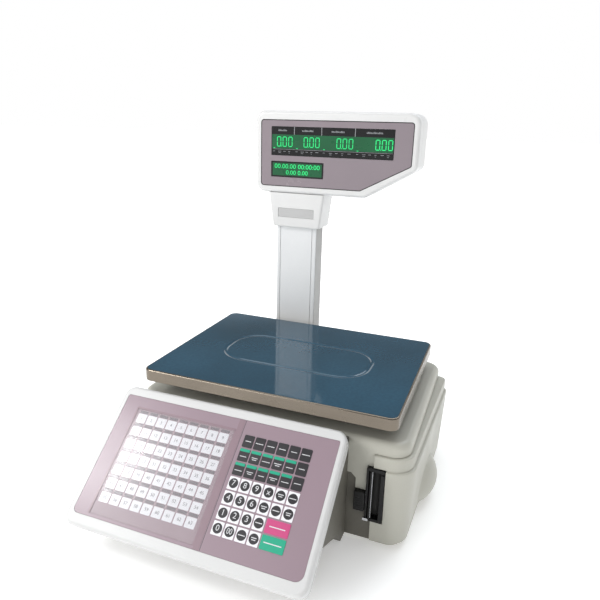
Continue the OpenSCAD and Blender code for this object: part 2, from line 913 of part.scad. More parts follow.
module pole_socket() {
    x1 = pole_x0 + pole_w;
    grow = 4.5;
    y1 = pole_y0 + pole_d + grow;
    color("ivory") place() difference() {
        union() {
            slab(30, 142) round_rect([pole_x0 - 6, base_y1], [x1 + 6, y1 + 1.5], 0.4);
            slab(40, 126) round_rect([pole_x0 - 14, base_y1], [x1 + 14, base_y1 + 4], 0.4);
        }
        slab(pole_z0, 143)
            round_rect([pole_x0 - 0.1, base_y1 + 0.4], [x1 + 0.1, pole_y0 + pole_d + 0.1], 0.3);
        rod_y(-64.5, 100, base_y1 - 1, base_y1 + 2, 8);
        for (p = socket_screws)
            rod_y(p[0], p[1], base_y1 - 1, base_y1 + 8, 2.2);
        for (z = [84, 110])
            rod_y(-64.5, z, pole_y0 + pole_d - 1, y1 + 2, 3.1);
    }
}

module neck() {
    // Front outline widens towards the head; side outline keeps one depth
    depth0 = 140;
    depth1 = 189;
    color("white") place() difference() {
        intersection() {
            upright(depth0, depth1)
                polygon([[-103, neck_z0 + 3], [-100, neck_z0], [-25, neck_z0], [-22, neck_z0 + 3],
                    [-16, neck_z1], [-111, neck_z1]]);
            slab(neck_z0 - 1, neck_z1 + 1) round_rect([-115, depth0], [-12, depth1], 3);
        }
        slab(neck_z0 - 1, pole_z1 + 0.2)
            round_rect([pole_x0 - 0.1, pole_y0 - 0.1], [pole_x0 + pole_w + 0.1, pole_y0 + pole_d + 0.1],
                2);
        block([pole_x0 + 8, pole_y0 + 4, neck_z0],
            [pole_x0 + pole_w - 8, pole_y0 + pole_d - 4, neck_z1 + 1]);
        // recess of the plate
        block([-94, depth0 - 1, 361.5], [-32, depth0 + 1.2, 376.5]);
    }
}

module neck_plate() {
    color("silver") place()
        block([-93.7, 140.4, 361.8], [-32.3, 141.2, 376.2]);
}

module display_front() {
    split = head_y0 + 24;
    color("white") place() difference() {
        union() {
            upright(head_y0, head_y0 + 3) head_outline(2.4);
            upright(head_y0 + 2, split) head_outline(0);
        }
        upright(head_y0 + 3, split + 1) head_outline(3);
        upright(head_y0 - 1, head_y0 + 1.4) window_outline(0);
        upright(head_y0, head_y0 + 4) round_rect([lcd_x0 - 1, lcd_z0 - 1], [lcd_x1 + 1, lcd_z1 + 1], 1);
        upright(head_y0, head_y0 + 4)
            round_rect([date_x0 - 1, date_z0 - 1], [date_x1 + 1, date_z1 + 1], 1);
        // cable way down into the neck
        block([-80, head_y0 + 18, head_low - 1], [-50, head_y0 + 40, head_low + 5]);
    }
}

module display_rear() {
    split = head_y0 + 24;
    back = head_y0 + head_d;
    color("white") place() difference() {
        union() {
            upright(split, back - 5) head_outline(0);
            upright(back - 6, back) head_outline(3);
        }
        upright(split - 1, back - 3) head_outline(4);
        upright(back - 1.4, back + 1) window_outline(0);
        upright(back - 4, back) round_rect([lcd_x0 - 1, lcd_z0 - 1], [lcd_x1 + 1, lcd_z1 + 1], 1);
        block([-80, head_y0 + 20, head_low - 1], [-50, head_y0 + 40, head_low + 5]);
    }
}

module display_window() {
    color("#90838b") place() upright(head_y0 + 0.4, head_y0 + 1.4) window_outline(0.2);
}

module customer_window() {
    color("#90838b") place()
        upright(head_y0 + head_d - 1.4, head_y0 + head_d - 0.4) window_outline(0.2);
}

module display_lcds() {
    back = head_y0 + head_d;
    color("darkgreen") place() {
        block([lcd_x0, head_y0 + 1.4, lcd_z0], [lcd_x1, head_y0 + 9, lcd_z1]);
        block([date_x0, head_y0 + 1.4, date_z0], [date_x1, head_y0 + 9, date_z1]);
        block([lcd_x0, back - 9, lcd_z0], [lcd_x1, back - 1.4, lcd_z1]);
    }
}

module display_board() {
    color("seagreen") place() {
        block([-118, head_y0 + 12, 418], [38, head_y0 + 13.6, 508]);
        block([-100, head_y0 + 13.6, 450], [-70, head_y0 + 22, 470]);
    }
}

// ---------- electronics ----------

module mainboard() {
    color("seagreen") place() {
        block([-160, -82, 16], [-60, 45, 17.6]);
        for (p = [[-154, -76], [-66, -76], [-154, 39], [-66, 39]])
            rod(p[0], p[1], tray_floor, 16, 3);
        block([-140, -60, 17.6], [-115, -35, 20]);
        block([-100, -20, 17.6], [-80, 0, 28]);
        block([-155, 0, 17.6], [-135, 30, 30]);
    }
}

module power_supply() {
    color("silver") place()
        slab(tray_floor, 44) round_rect([-178, 60], [-100, 112], 2);
}

module power_inlet() {
    y1 = base_y1 + 2;
    color("black") place() difference() {
        union() {
            block([inlet_x - 14, base_y1 - 22, 50], [inlet_x + 14, base_y1, 72]);
            block([inlet_x - 16, base_y1, 47], [inlet_x + 16, y1, 75]);
        }
        block([inlet_x - 12, base_y1 - 16, 53], [inlet_x + 12, y1 + 1, 69]);
    }
}

module power_switch() {
    // rocker whose middle stays in the window while its ends dip
    color("red") place() translate([switch_x, base_y1 - 4, 61]) rotate([0, 90, 0])
        translate([0, 0, -6.8]) linear_extrude(13.6) difference() {
            circle(9.6);
            translate([-11, -11]) square([22, 11.5]);
            translate([0, 13.5]) circle(7);
        }
}

module port_block() {
    y1 = base_y1 + 0.6;
    color("darkgray") place() difference() {
        block([-14, base_y1 - 16, 44], [60, y1, 66]);
        block([-10, base_y1 - 12, 48], [6, y1 + 1, 62]);
        block([12, base_y1 - 12, 50], [26, y1 + 1, 58]);
        block([32, base_y1 - 8, 48], [56, y1 + 1, 60]);
    }
}

base_tray();
base_cover();
front_skirt();
foot(0);  // foot_front_left
foot(1);  // foot_front_right
foot(2);  // foot_rear_left
foot(3);  // foot_rear_right
bubble_level();
housing_screws();
printer_door();
hinge_pins();
hinge_brackets();
door_latch();
print_faceplate();
printer_chassis();
platen_roller();
platen_shaft();
platen_gear();
idler_gear();
print_motor();
motor_pinion();
takeup_belt();
takeup_spool();
head_bracket();
thermal_head();
head_spring();
release_lever();
guide_post();
roll_spindle();
label_roll();
label_web();
pan();
pan_spider();
pan_pads();
load_cell();
cell_pedestal();
cell_bolts();
console_top();
console_bottom();
console_overlay();
plu_sheet();
plu_cover();
keypad_keys();
console_board();
console_support();
pole();
pole_socket();
neck();
neck_plate();
display_front();
display_rear();
display_window();
customer_window();
display_lcds();
display_board();
mainboard();
power_supply();
power_inlet();
power_switch();
port_block();
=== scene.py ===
"""Looks of the label printing scale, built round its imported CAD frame.

Pieces are drawn in millimetres about the middle of the pan and then placed in the row frame.
"""
import json
import math
from types import SimpleNamespace

import bmesh
import bpy
from mathutils import Matrix, Vector

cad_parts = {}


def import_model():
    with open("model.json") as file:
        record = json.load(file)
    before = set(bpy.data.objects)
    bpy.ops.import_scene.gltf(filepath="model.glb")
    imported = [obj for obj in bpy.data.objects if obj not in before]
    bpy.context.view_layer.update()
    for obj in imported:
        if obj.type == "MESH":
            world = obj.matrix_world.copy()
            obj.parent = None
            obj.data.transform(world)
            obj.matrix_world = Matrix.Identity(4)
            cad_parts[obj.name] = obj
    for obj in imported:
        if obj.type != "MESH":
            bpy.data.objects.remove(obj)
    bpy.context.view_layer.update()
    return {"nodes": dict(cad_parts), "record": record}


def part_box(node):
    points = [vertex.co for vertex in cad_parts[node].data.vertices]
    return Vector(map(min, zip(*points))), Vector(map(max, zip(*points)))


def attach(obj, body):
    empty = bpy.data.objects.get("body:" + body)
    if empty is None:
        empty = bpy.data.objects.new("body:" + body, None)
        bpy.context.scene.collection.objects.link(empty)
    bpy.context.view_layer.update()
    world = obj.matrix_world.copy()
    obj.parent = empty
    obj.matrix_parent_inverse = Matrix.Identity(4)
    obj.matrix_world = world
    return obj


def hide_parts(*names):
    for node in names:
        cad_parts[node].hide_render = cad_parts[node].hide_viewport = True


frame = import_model()
scene = bpy.context.scene
scene.view_settings.view_transform = "Standard"

MM = 0.001
PAN_LOW, PAN_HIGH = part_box("pan")
CENTRE = Vector(((PAN_LOW.x + PAN_HIGH.x) / 2, (PAN_LOW.y + PAN_HIGH.y) / 2, 0))
TO_ROW = Matrix.Translation(CENTRE) @ Matrix.Scale(MM, 4)


# ---------- camera ----------

CAMERA_PLACE = (0.25395, -0.66866, 0.50523)
CAMERA_TURN = (20.441, 17.37, 1.571)  # azimuth, elevation and roll in degrees
SENSOR = 36
LENS = 33.412


def aim_camera():
    """Stands the camera where the front, the right side and the pan all show."""
    azimuth, elevation, roll = (math.radians(a) for a in CAMERA_TURN)
    back = Vector((math.sin(azimuth) * math.cos(elevation),
                   -math.cos(azimuth) * math.cos(elevation), math.sin(elevation)))
    right = Vector((math.cos(azimuth), math.sin(azimuth), 0))
    up = back.cross(right)
    side = right * math.cos(roll) + up * math.sin(roll)
    top = up * math.cos(roll) - right * math.sin(roll)
    data = bpy.data.cameras.new("camera")
    data.sensor_width = SENSOR
    data.lens = LENS
    camera = bpy.data.objects.new("camera", data)
    scene.collection.objects.link(camera)
    turn = Matrix((side, top, back)).transposed().to_4x4()
    camera.matrix_world = Matrix.Translation(CAMERA_PLACE) @ turn
    scene.camera = camera


aim_camera()


# ---------- places ----------

def span(*nodes):
    """Box round CAD nodes, in millimetres about the middle of the pan."""
    boxes = [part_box(node) for node in nodes]
    low = [(min(b[0][i] for b in boxes) - CENTRE[i]) / MM for i in range(3)]
    high = [(max(b[1][i] for b in boxes) - CENTRE[i]) / MM for i in range(3)]
    return SimpleNamespace(x0=low[0], x1=high[0], y0=low[1], y1=high[1], z0=low[2], z1=high[2])


UPRIGHT = Matrix.Rotation(math.pi / 2, 4, "X")  # outline in X and Z, levels towards -Y

CONSOLE_TILT = math.radians(39.7)
TOP_SHELL = 13
top_box = span("console_top")
CONSOLE_Y = top_box.y1 - TOP_SHELL * math.sin(CONSOLE_TILT)
CONSOLE_L = (CONSOLE_Y - top_box.y0) / math.cos(CONSOLE_TILT)
# X across the console, Y up its slope from the back top edge, Z out of its face
ON_CONSOLE = (Matrix.Translation((0, CONSOLE_Y, top_box.z1))
              @ Matrix.Rotation(CONSOLE_TILT, 4, "X"))


# ---------- shapes ----------

INK = 0.05  # thickness of lit and printed marks


def rect(x0, x1, y0, y1):
    return [(x0, y0), (x1, y0), (x1, y1), (x0, y1)]


def grown(corners, by):
    """Convex outline with every side moved outwards."""
    points = [Vector(c) for c in corners]
    count = len(points)
    sides = []
    for i, point in enumerate(points):
        along = (points[(i + 1) % count] - point).normalized()
        sides.append((point + Vector((along.y, -along.x)) * by, along))
    result = []
    for i in range(count):
        (p, u), (q, v) = sides[i - 1], sides[i]
        share = (q - p).cross(v) / u.cross(v)
        result.append(p + u * share)
    return result


def rounded(corners, radii, grow=0.0, steps=8):
    """Convex outline with arcs at its corners, grown outwards with its radii."""
    points = grown(corners, grow)
    count = len(points)
    result = []
    for i, point in enumerate(points):
        radius = radii[i] if isinstance(radii, (list, tuple)) else radii
        radius = max(radius + grow, 0.05)
        before = (points[i - 1] - point).normalized()
        after = (points[(i + 1) % count] - point).normalized()
        half = before.angle(after) / 2
        middle = point + (before + after).normalized() * (radius / math.sin(half))
        start = point + before * (radius / math.tan(half)) - middle
        sweep = math.pi - 2 * half
        for k in range(steps + 1):
            turn = sweep * k / steps
            c, s = math.cos(turn), math.sin(turn)
            x = middle.x + start.x * c - start.y * s
            result.append((x, middle.y + start.x * s + start.y * c))
    return result


def loft(bm, rings, place=None, caps=True):
    """Skins rings of points and closes both ends unless caps is off."""
    place = place or Matrix.Identity(4)
    made = [[bm.verts.new(place @ Vector(p)) for p in ring] for ring in rings]
    for low, high in zip(made, made[1:]):
        for i in range(len(low)):
            bm.faces.new((low[i - 1], low[i], high[i], high[i - 1]))
    if caps:
        bm.faces.new(made[0][::-1])
        bm.faces.new(made[-1])


def edge_in(z, radius, steps=5):
    """Levels (grow, z) of an edge that rounds up out of a bottom face."""
    angles = [math.pi / 2 * k / steps for k in range(steps + 1)]
    return [(-radius * (1 - math.sin(t)), z + radius * (1 - math.cos(t))) for t in angles]


def edge_out(z, radius, steps=5):
    """Levels (grow, z) of an edge that rounds over into a top face."""
    angles = [math.pi / 2 * k / steps for k in range(steps + 1)]
    return [(-radius * (1 - math.cos(t)), z - radius * (1 - math.sin(t))) for t in angles]


def slab(bm, corners, radii, levels, place=None, steps=8):
    """Solid whose outline grows and shrinks from level to level."""
    rings = [[(x, y, z) for x, y in rounded(corners, radii, grow, steps)] for grow, z in levels]
    loft(bm, rings, place)


def pad(bm, corners, radii, z0, z1, edge=0.3, place=None, steps=4):
    """Flat pad with a small rounding round its top."""
    slab(bm, corners, radii, [(0, z0)] + edge_out(z1, edge, 2), place, steps)


def box(bm, x0, x1, y0, y1, z0, z1, place=None):
    slab(bm, rect(x0, x1, y0, y1), 0.05, [(0, z0), (0, z1)], place, 1)


def lathe(bm, profile, place=None, steps=32, caps=True):
    """Solid turned about Z from (radius, z) points."""
    turns = [2 * math.pi * k / steps for k in range(steps)]
    rings = [[(r * math.cos(t), r * math.sin(t), z) for t in turns] for r, z in profile]
    loft(bm, rings, place, caps)


def rod(bm, x, y, z0, z1, radius, edge=0.3, place=None, steps=32):
    shift = Matrix.Translation((x, y, 0))
    profile = [(radius - edge, z0), (radius, z0 + edge), (radius, z1 - edge), (radius - edge, z1)]
    lathe(bm, profile, (place or Matrix.Identity(4)) @ shift, steps)


def loose(name, bm):
    """Plain object of a bmesh, for the boolean steps."""
    bmesh.ops.recalc_face_normals(bm, faces=bm.faces)
    mesh = bpy.data.meshes.new(name)
    bm.to_mesh(mesh)
    bm.free()
    obj = bpy.data.objects.new(name, mesh)
    scene.collection.objects.link(obj)
    return obj


def carved(bm, cutters):
    """bm with every cutter taken out of it; a cutter is a function that draws in a bmesh."""
    for draw in cutters:
        tool = bmesh.new()
        draw(tool)
        target, cutter = loose("target", bm), loose("cutter", tool)
        step = target.modifiers.new("cut", "BOOLEAN")
        step.operation = "DIFFERENCE"
        step.solver = "EXACT"
        step.object = cutter
        depsgraph = bpy.context.evaluated_depsgraph_get()
        mesh = bpy.data.meshes.new_from_object(target.evaluated_get(depsgraph))
        bm = bmesh.new()
        bm.from_mesh(mesh)
        bpy.data.objects.remove(target)
        bpy.data.objects.remove(cutter)
    return bm


def piece(name, bm, finish, slot=None, body="base", stands_for=()):
    """Finished piece: smooth shaded, placed in the row frame and riding on its body."""
    slot = slot or finish
    obj = loose(name, bm)
    mesh = obj.data
    mesh.transform(TO_ROW)
    mesh.materials.clear()
    mesh.materials.append(FINISH[finish])
    mesh.shade_smooth()
    mesh.set_sharp_from_angle(angle=math.radians(PIECE_SHARP_DEG))
    weighting = obj.modifiers.new("weighted_normals", "WEIGHTED_NORMAL")
    weighting.keep_sharp = True
    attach(obj, body)
    if stands_for:
        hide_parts(*stands_for)


def glyphs(bm, text, size, x, y, z, place, squeeze=1.0):
    """Adds figures, centred at (x, y) of a face."""
    curve = bpy.data.curves.new("figures", "FONT")
    curve.body = text
    curve.size = size
    curve.align_x = "CENTER"
    curve.align_y = "CENTER"
    curve.extrude = INK / 2
    obj = bpy.data.objects.new("figures", curve)
    scene.collection.objects.link(obj)
    depsgraph = bpy.context.evaluated_depsgraph_get()
    mesh = bpy.data.meshes.new_from_object(obj.evaluated_get(depsgraph))
    shift = Matrix.Translation((x, y, z + INK / 2)) @ Matrix.Diagonal((squeeze, 1, 1, 1))
    mesh.transform(place @ shift)
    bm.from_mesh(mesh)
    bpy.data.objects.remove(obj)
    bpy.data.curves.remove(curve)


# ---------- materials ----------

FINISH = {}  # material by name; a CAD node's slot has the same name as its material


class Nodes:
    """Small helper that builds one material's node tree."""

    def __init__(self, name):
        self.material = bpy.data.materials.new(name)
        self.material.use_nodes = True
        self.tree = self.material.node_tree
        self.shader = self.tree.nodes["Principled BSDF"]
        self.place = self.add("ShaderNodeTexCoord").outputs["Object"]

    def add(self, kind, sockets=None, **settings):
        node = self.tree.nodes.new(kind)
        for key, value in settings.items():
            setattr(node, key, value)
        for key, value in (sockets or {}).items():
            node.inputs[key].default_value = value
        return node

    def link(self, source, target):
        self.tree.links.new(source, target)

    def noise(self, scale, detail=3.0, stretch=(1, 1, 1)):
        mapping = self.add("ShaderNodeMapping", {"Scale": stretch})
        self.link(self.place, mapping.inputs["Vector"])
        noise = self.add("ShaderNodeTexNoise", {"Scale": scale, "Detail": detail})
        self.link(mapping.outputs["Vector"], noise.inputs["Vector"])
        return noise.outputs["Fac"]

    def ranged(self, source, low, high, start=0.3, end=0.7):
        limits = {"From Min": start, "From Max": end, "To Min": low, "To Max": high}
        node = self.add("ShaderNodeMapRange", limits)
        self.link(source, node.inputs["Value"])
        return node.outputs["Result"]

    def mixed(self, amount, first, second):
        node = self.add("ShaderNodeMix", data_type="RGBA")
        self.link(amount, node.inputs[0])
        for socket, value in ((node.inputs[6], first), (node.inputs[7], second)):
            if isinstance(value, tuple):
                socket.default_value = (*value, 1)
            else:
                self.link(value, socket)
        return node.outputs[2]

    def bump(self, height, depth, strength=1.0, below=None):
        node = self.add("ShaderNodeBump", {"Distance": depth * MM, "Strength": strength})
        self.link(height, node.inputs["Height"])
        if below is not None:
            self.link(below, node.inputs["Normal"])
        return node.outputs["Normal"]


def scaled(colour, by):
    return tuple(min(1.0, c * by) for c in colour)


def surface(name, colour, rough=0.4, metal=0.0, grain=1300, depth=0.02, patch=11, mottle=0.05,
            stretch=(1, 1, 1), coat=0.0, coat_rough=0.08, specular=0.5, wear=0.1, spread=0.06):
    """Moulded, painted or metal surface: fine grain, soft patches, worn edges, uneven gloss."""
    n = Nodes(name)
    patches = n.noise(patch, 4)
    base = n.mixed(n.ranged(patches, 0, 1), scaled(colour, 1 - mottle), scaled(colour, 1 + mottle))
    specks = n.ranged(n.noise(grain * 0.6, 2, stretch), 0, 1, 0.35, 0.65)
    base = n.mixed(n.ranged(specks, 0, 0.35, 0, 1), base, scaled(colour, 1 - 1.6 * mottle))
    edges = n.add("ShaderNodeNewGeometry").outputs["Pointiness"]
    base = n.mixed(n.ranged(edges, 0, wear, 0.52, 0.62), base, scaled(colour, 1.25))
    n.link(base, n.shader.inputs["Base Color"])
    gloss = n.ranged(n.noise(patch * 2.3, 5), max(rough - spread, 0.02), rough + spread)
    n.link(gloss, n.shader.inputs["Roughness"])
    waves = n.bump(n.noise(patch * 3, 2), 0.12, 0.25)
    fine = n.bump(n.noise(grain, 2, stretch), depth, 1.0, waves)
    n.link(fine, n.shader.inputs["Normal"])
    n.shader.inputs["Metallic"].default_value = metal
    n.shader.inputs["Coat Weight"].default_value = coat
    n.shader.inputs["Coat Roughness"].default_value = coat_rough
    n.shader.inputs["Specular IOR Level"].default_value = specular
    FINISH[name] = n.material
    return n


def printed(name, colour, rough=0.34, **values):
    """Printed film: fine grained, with no worn edges."""
    surface(name, colour, rough=rough, grain=1900, wear=0.0, **values)


def blue_film():
    """Thin blue protective film with faint waves, bubbles and scuffs."""
    n = surface("blue_film", (0.020, 0.072, 0.118), rough=0.07, grain=420, depth=0.005, mottle=0.22,
                patch=6, specular=0.6, wear=0.0, spread=0.025)
    bubbles = n.add("ShaderNodeTexVoronoi", {"Scale": 42})
    n.link(n.place, bubbles.inputs["Vector"])
    raised = n.ranged(bubbles.outputs["Distance"], 1, 0, 0.03, 0.10)
    patches = n.ranged(n.noise(7, 2), 0, 1, 0.58, 0.66)
    both = n.add("ShaderNodeMath", operation="MULTIPLY")
    n.link(raised, both.inputs[0])
    n.link(patches, both.inputs[1])
    below = n.shader.inputs["Normal"].links[0].from_socket
    n.link(n.bump(both.outputs[0], 0.25, 0.7, below), n.shader.inputs["Normal"])


def clear_film():
    """Clear pocket film, all but invisible except for its gloss."""
    n = surface("clear_film", (0.93, 0.94, 0.96), rough=0.12, grain=300, depth=0.01, mottle=0.02,
                specular=0.8, wear=0.0)
    n.shader.inputs["Alpha"].default_value = 0.06


def pole_finish_with_painted_side_shade():
    """Light front and back, with painted shade on the sides that face left and right."""
    n = surface("pole_alloy", (0.70, 0.71, 0.715), rough=0.36, grain=1000, depth=0.03, mottle=0.03)
    split = n.add("ShaderNodeSeparateXYZ")
    n.link(n.add("ShaderNodeTexCoord").outputs["Normal"], split.inputs[0])
    sideways = n.add("ShaderNodeMath", operation="ABSOLUTE")
    n.link(split.outputs["X"], sideways.inputs[0])
    below = n.shader.inputs["Base Color"].links[0].from_socket
    # painted shade: faces that point along X are mixed towards this darker grey
    dark = n.ranged(sideways.outputs[0], 0, 0.95, 0.7, 0.95)
    n.link(n.mixed(dark, below, (0.26, 0.255, 0.245)), n.shader.inputs["Base Color"])


def lit(name, colour, strength):
    """Back-lit liquid crystal: its own light, uneven over the glass."""
    n = surface(name, scaled(colour, 0.5), rough=0.3, grain=900, depth=0.004, mottle=0.12, patch=30,
                specular=0.25, wear=0.0)
    glow = n.mixed(n.ranged(n.noise(16, 2), 0, 1), scaled(colour, 0.86), scaled(colour, 1.1))
    n.link(glow, n.shader.inputs["Emission Color"])
    n.shader.inputs["Emission Strength"].default_value = strength


surface("ivory_plastic", (0.455, 0.448, 0.392), rough=0.42, grain=1500, depth=0.022)
surface("white_plastic", (0.64, 0.64, 0.636), rough=0.33, grain=1800, depth=0.010, mottle=0.025)
# dark grey matched to the shaded front under the console, so part of this darkness is painted shade
surface("grey_plastic", (0.125, 0.118, 0.098), rough=0.55, grain=1100, depth=0.035, mottle=0.08)
surface("black_plastic", (0.007, 0.007, 0.007), rough=0.30, grain=1500, depth=0.010, mottle=0.2,
        specular=0.28)
surface("black_rubber", (0.022, 0.022, 0.021), rough=0.72, grain=900, depth=0.05, mottle=0.25)
surface("stainless", (0.19, 0.163, 0.132), rough=0.26, metal=1.0, grain=2600, depth=0.006,
        stretch=(0.03, 0.03, 1), mottle=0.10, wear=0.5)
surface("steel", (0.56, 0.57, 0.59), rough=0.28, metal=1.0, grain=1900, depth=0.006, mottle=0.1)
surface("zinc_plate", (0.55, 0.57, 0.58), rough=0.36, metal=1.0, grain=260, depth=0.012,
        mottle=0.16, patch=60)
surface("cast_alloy", (0.44, 0.45, 0.46), rough=0.52, metal=1.0, grain=800, depth=0.07, mottle=0.1)
surface("cell_alloy", (0.66, 0.67, 0.69), rough=0.30, metal=1.0, grain=2200, depth=0.008,
        stretch=(1, 0.03, 1))
pole_finish_with_painted_side_shade()
surface("plate_alloy", (0.40, 0.40, 0.40), rough=0.38, metal=0.6, grain=2600, depth=0.006,
        stretch=(0.03, 1, 1), mottle=0.06)
surface("overlay_film", (0.299, 0.220, 0.256), rough=0.30, grain=2100, depth=0.012, mottle=0.02,
        coat=0.10, coat_rough=0.22, wear=0.0, spread=0.015)
surface("window_film", (0.220, 0.182, 0.203), rough=0.22, grain=2100, depth=0.006, mottle=0.03,
        coat=0.4, coat_rough=0.08, wear=0.0)
printed("key_film", (0.022, 0.020, 0.024), rough=0.36, depth=0.012, mottle=0.12, coat=0.05,
        coat_rough=0.2)
printed("key_white", (0.80, 0.79, 0.82), depth=0.010, mottle=0.02, coat=0.3, coat_rough=0.2)
for name, colour in (("key_green", (0.009, 0.355, 0.215)), ("key_pink", (0.55, 0.064, 0.205))):
    printed(name, colour, rough=0.32, depth=0.010, mottle=0.06, coat=0.2, coat_rough=0.2)
for name, colour in (("print_pale", (0.66, 0.66, 0.68)), ("print_dim", (0.22, 0.23, 0.24)),
                     ("print_grey", (0.075, 0.07, 0.08))):
    printed(name, colour, rough=0.4, depth=0.004)
printed("bar_dark", (0.105, 0.078, 0.096), rough=0.36, depth=0.008, mottle=0.08, coat=1.0,
        coat_rough=0.19)
printed("cell_white", (0.64, 0.635, 0.67), depth=0.006, mottle=0.02, coat=1.0, coat_rough=0.19)
surface("printed_sheet", (0.26, 0.178, 0.208), rough=0.34, grain=1500, depth=0.01, mottle=0.03,
        coat=0.3, coat_rough=0.19, wear=0.0)
surface("paper", (0.83, 0.83, 0.80), rough=0.75, grain=1600, depth=0.02, mottle=0.03)
surface("lcd_black", (0.007, 0.007, 0.008), rough=0.16, grain=900, depth=0.003, mottle=0.2,
        specular=0.3, wear=0.0)
lit("lcd_green", (0.010, 0.085, 0.034), 0.85)
lit("lcd_lit", (0.022, 0.62, 0.17), 1.15)
surface("circuit_board", (0.018, 0.13, 0.050), rough=0.35, grain=500, depth=0.03, mottle=0.2)
surface("gear_plastic", (0.80, 0.79, 0.72), rough=0.38, grain=1300, depth=0.012)
surface("motor_metal", (0.30, 0.31, 0.33), rough=0.34, metal=0.9, grain=900, depth=0.02)
surface("belt_rubber", (0.03, 0.03, 0.03), rough=0.7, grain=900, depth=0.04)
surface("spring_steel", (0.6, 0.6, 0.6), rough=0.22, metal=1.0, grain=1800, depth=0.005)
surface("lever_plastic", (0.02, 0.09, 0.42), rough=0.3, grain=1500, depth=0.012)
surface("level_glass", (0.42, 0.72, 0.12), rough=0.08, grain=600, depth=0.004, coat=0.8)
surface("switch_red", (0.55, 0.025, 0.018), rough=0.26, grain=1500, depth=0.01, coat=0.2)
surface("contact_gold", (0.83, 0.60, 0.22), rough=0.22, metal=1.0, grain=1600, depth=0.004)
blue_film()
clear_film()
FINISH["lcd"] = FINISH["lcd_green"]

EDGE_MM = {"front_skirt": 0.6, "console_support": 0.9, "pole": 0.35, "pole_socket": 0.8,
           "base_tray": 1.2, "print_faceplate": 0.7, "door_latch": 0.9, "neck_plate": 0.25,
           "display_board": 0.2, "plu_sheet": 0.05, "label_web": 0.0, "head_spring": 0.0}
PIECE_SHARP_DEG = 32
NODE_SHARP_DEG = 35
FLAT_DEG = 0.3
WELD_MM = 0.005


def dress_nodes():
    """Finish and softened edges for every CAD node that stays."""
    for part in frame["record"]["subparts"]:
        name = part["node"]
        node = frame["nodes"][name]
        node.data.materials.clear()
        node.data.materials.append(FINISH[part["material_slot"]])
        width = EDGE_MM.get(name, 0.3)
        if width:
            weld = node.modifiers.new("weld", "WELD")
            weld.merge_threshold = WELD_MM * MM
            flat = node.modifiers.new("flat_faces", "DECIMATE")
            flat.decimate_type = "DISSOLVE"
            flat.angle_limit = math.radians(FLAT_DEG)
            bevel = node.modifiers.new("soft_edges", "BEVEL")
            bevel.width = width * MM
            bevel.segments = 2
            bevel.limit_method = "ANGLE"
            bevel.angle_limit = math.radians(NODE_SHARP_DEG)
            bevel.use_clamp_overlap = True
            weighting = node.modifiers.new("weighted_normals", "WEIGHTED_NORMAL")
            weighting.keep_sharp = True
            node.data.shade_smooth()
            node.data.set_sharp_from_angle(angle=math.radians(NODE_SHARP_DEG))


dress_nodes()


# ---------- base ----------

WALL = 3
CORNER_R = 22
TOP_EDGE = 9
POSTS = [(x, y) for x in (-110, 110) for y in (-75, 75)]
POST_HOLE_R = 11
FRONT_CUT = 12
DOOR_X0 = 149.6
DOOR_GAP = 0.6
HINGE_LEVELS = (38, 90)
HINGE_L = 20
EAR_T = 5.6
INLET_LEVELS = (49.6, 72.4)
cover = span("base_cover")
door = span("printer_door")
skirt = span("front_skirt")
plate = span("print_faceplate")
latch = span("door_latch")
level = span("bubble_level")
pins = span("hinge_pins")
COVER_RECT = rect(cover.x0, cover.x1, cover.y0, cover.y1)
LEVEL_SPOT = ((level.x0 + level.x1) / 2, (level.y0 + level.y1) / 2)
HINGE_X, HINGE_Y = (pins.x0 + pins.x1) / 2, (pins.y0 + pins.y1) / 2
DOOR_Y1 = HINGE_Y - 7
LATCH_HOLE = SimpleNamespace(x0=latch.x0 - 0.4, x1=latch.x1 + 1, z0=latch.z0 - 0.4, z1=latch.z1 + 0.5)


def skirt_cut(bm):
    """Room for the grey skirt in the front wall."""
    grow = 0.4
    left, right, step = skirt.x0 - grow, DOOR_X0 - DOOR_GAP, LATCH_HOLE.x0 + grow
    outline = [(left, cover.z0 - 5), (right, cover.z0 - 5), (right, LATCH_HOLE.z0 + grow),
               (step, LATCH_HOLE.z0 + grow), (step, skirt.z1 - 6),
               (LATCH_HOLE.x0 - 6, skirt.z1 + grow), (left, skirt.z1 + grow)]
    depths = (-cover.y0 - FRONT_CUT, -cover.y0 + 1)
    loft(bm, [[(x, z, depth) for x, z in outline] for depth in depths], UPRIGHT)


def top_holes(bm):
    """Holes for the pan's posts and the bubble level."""
    for x, y in POSTS + [LEVEL_SPOT]:
        rod(bm, x, y, cover.z1 - 20, cover.z1 + 1, POST_HOLE_R, 0.01)


def rear_cuts(bm):
    """Openings for the mains inlet, the switch and the ports."""
    for name, grow in (("power_inlet", -1.6), ("power_switch", 0.5), ("port_block", 0.3)):
        b = span(name)
        levels = (b.z0 - grow, b.z1 + grow) if name == "port_block" else INLET_LEVELS
        box(bm, b.x0 - grow, b.x1 + grow, cover.y1 - 5, cover.y1 + 1, *levels)


def ear_slots(bm):
    """Slots for the hinge ears over and under each knuckle."""
    for start in HINGE_LEVELS:
        for low in (start - EAR_T - 0.3, start + HINGE_L + 0.3):
            box(bm, cover.x1 - 30, cover.x1 + 7, HINGE_Y - 2.4, HINGE_Y + 4.4,
                low - 0.2, low + EAR_T + 0.2)


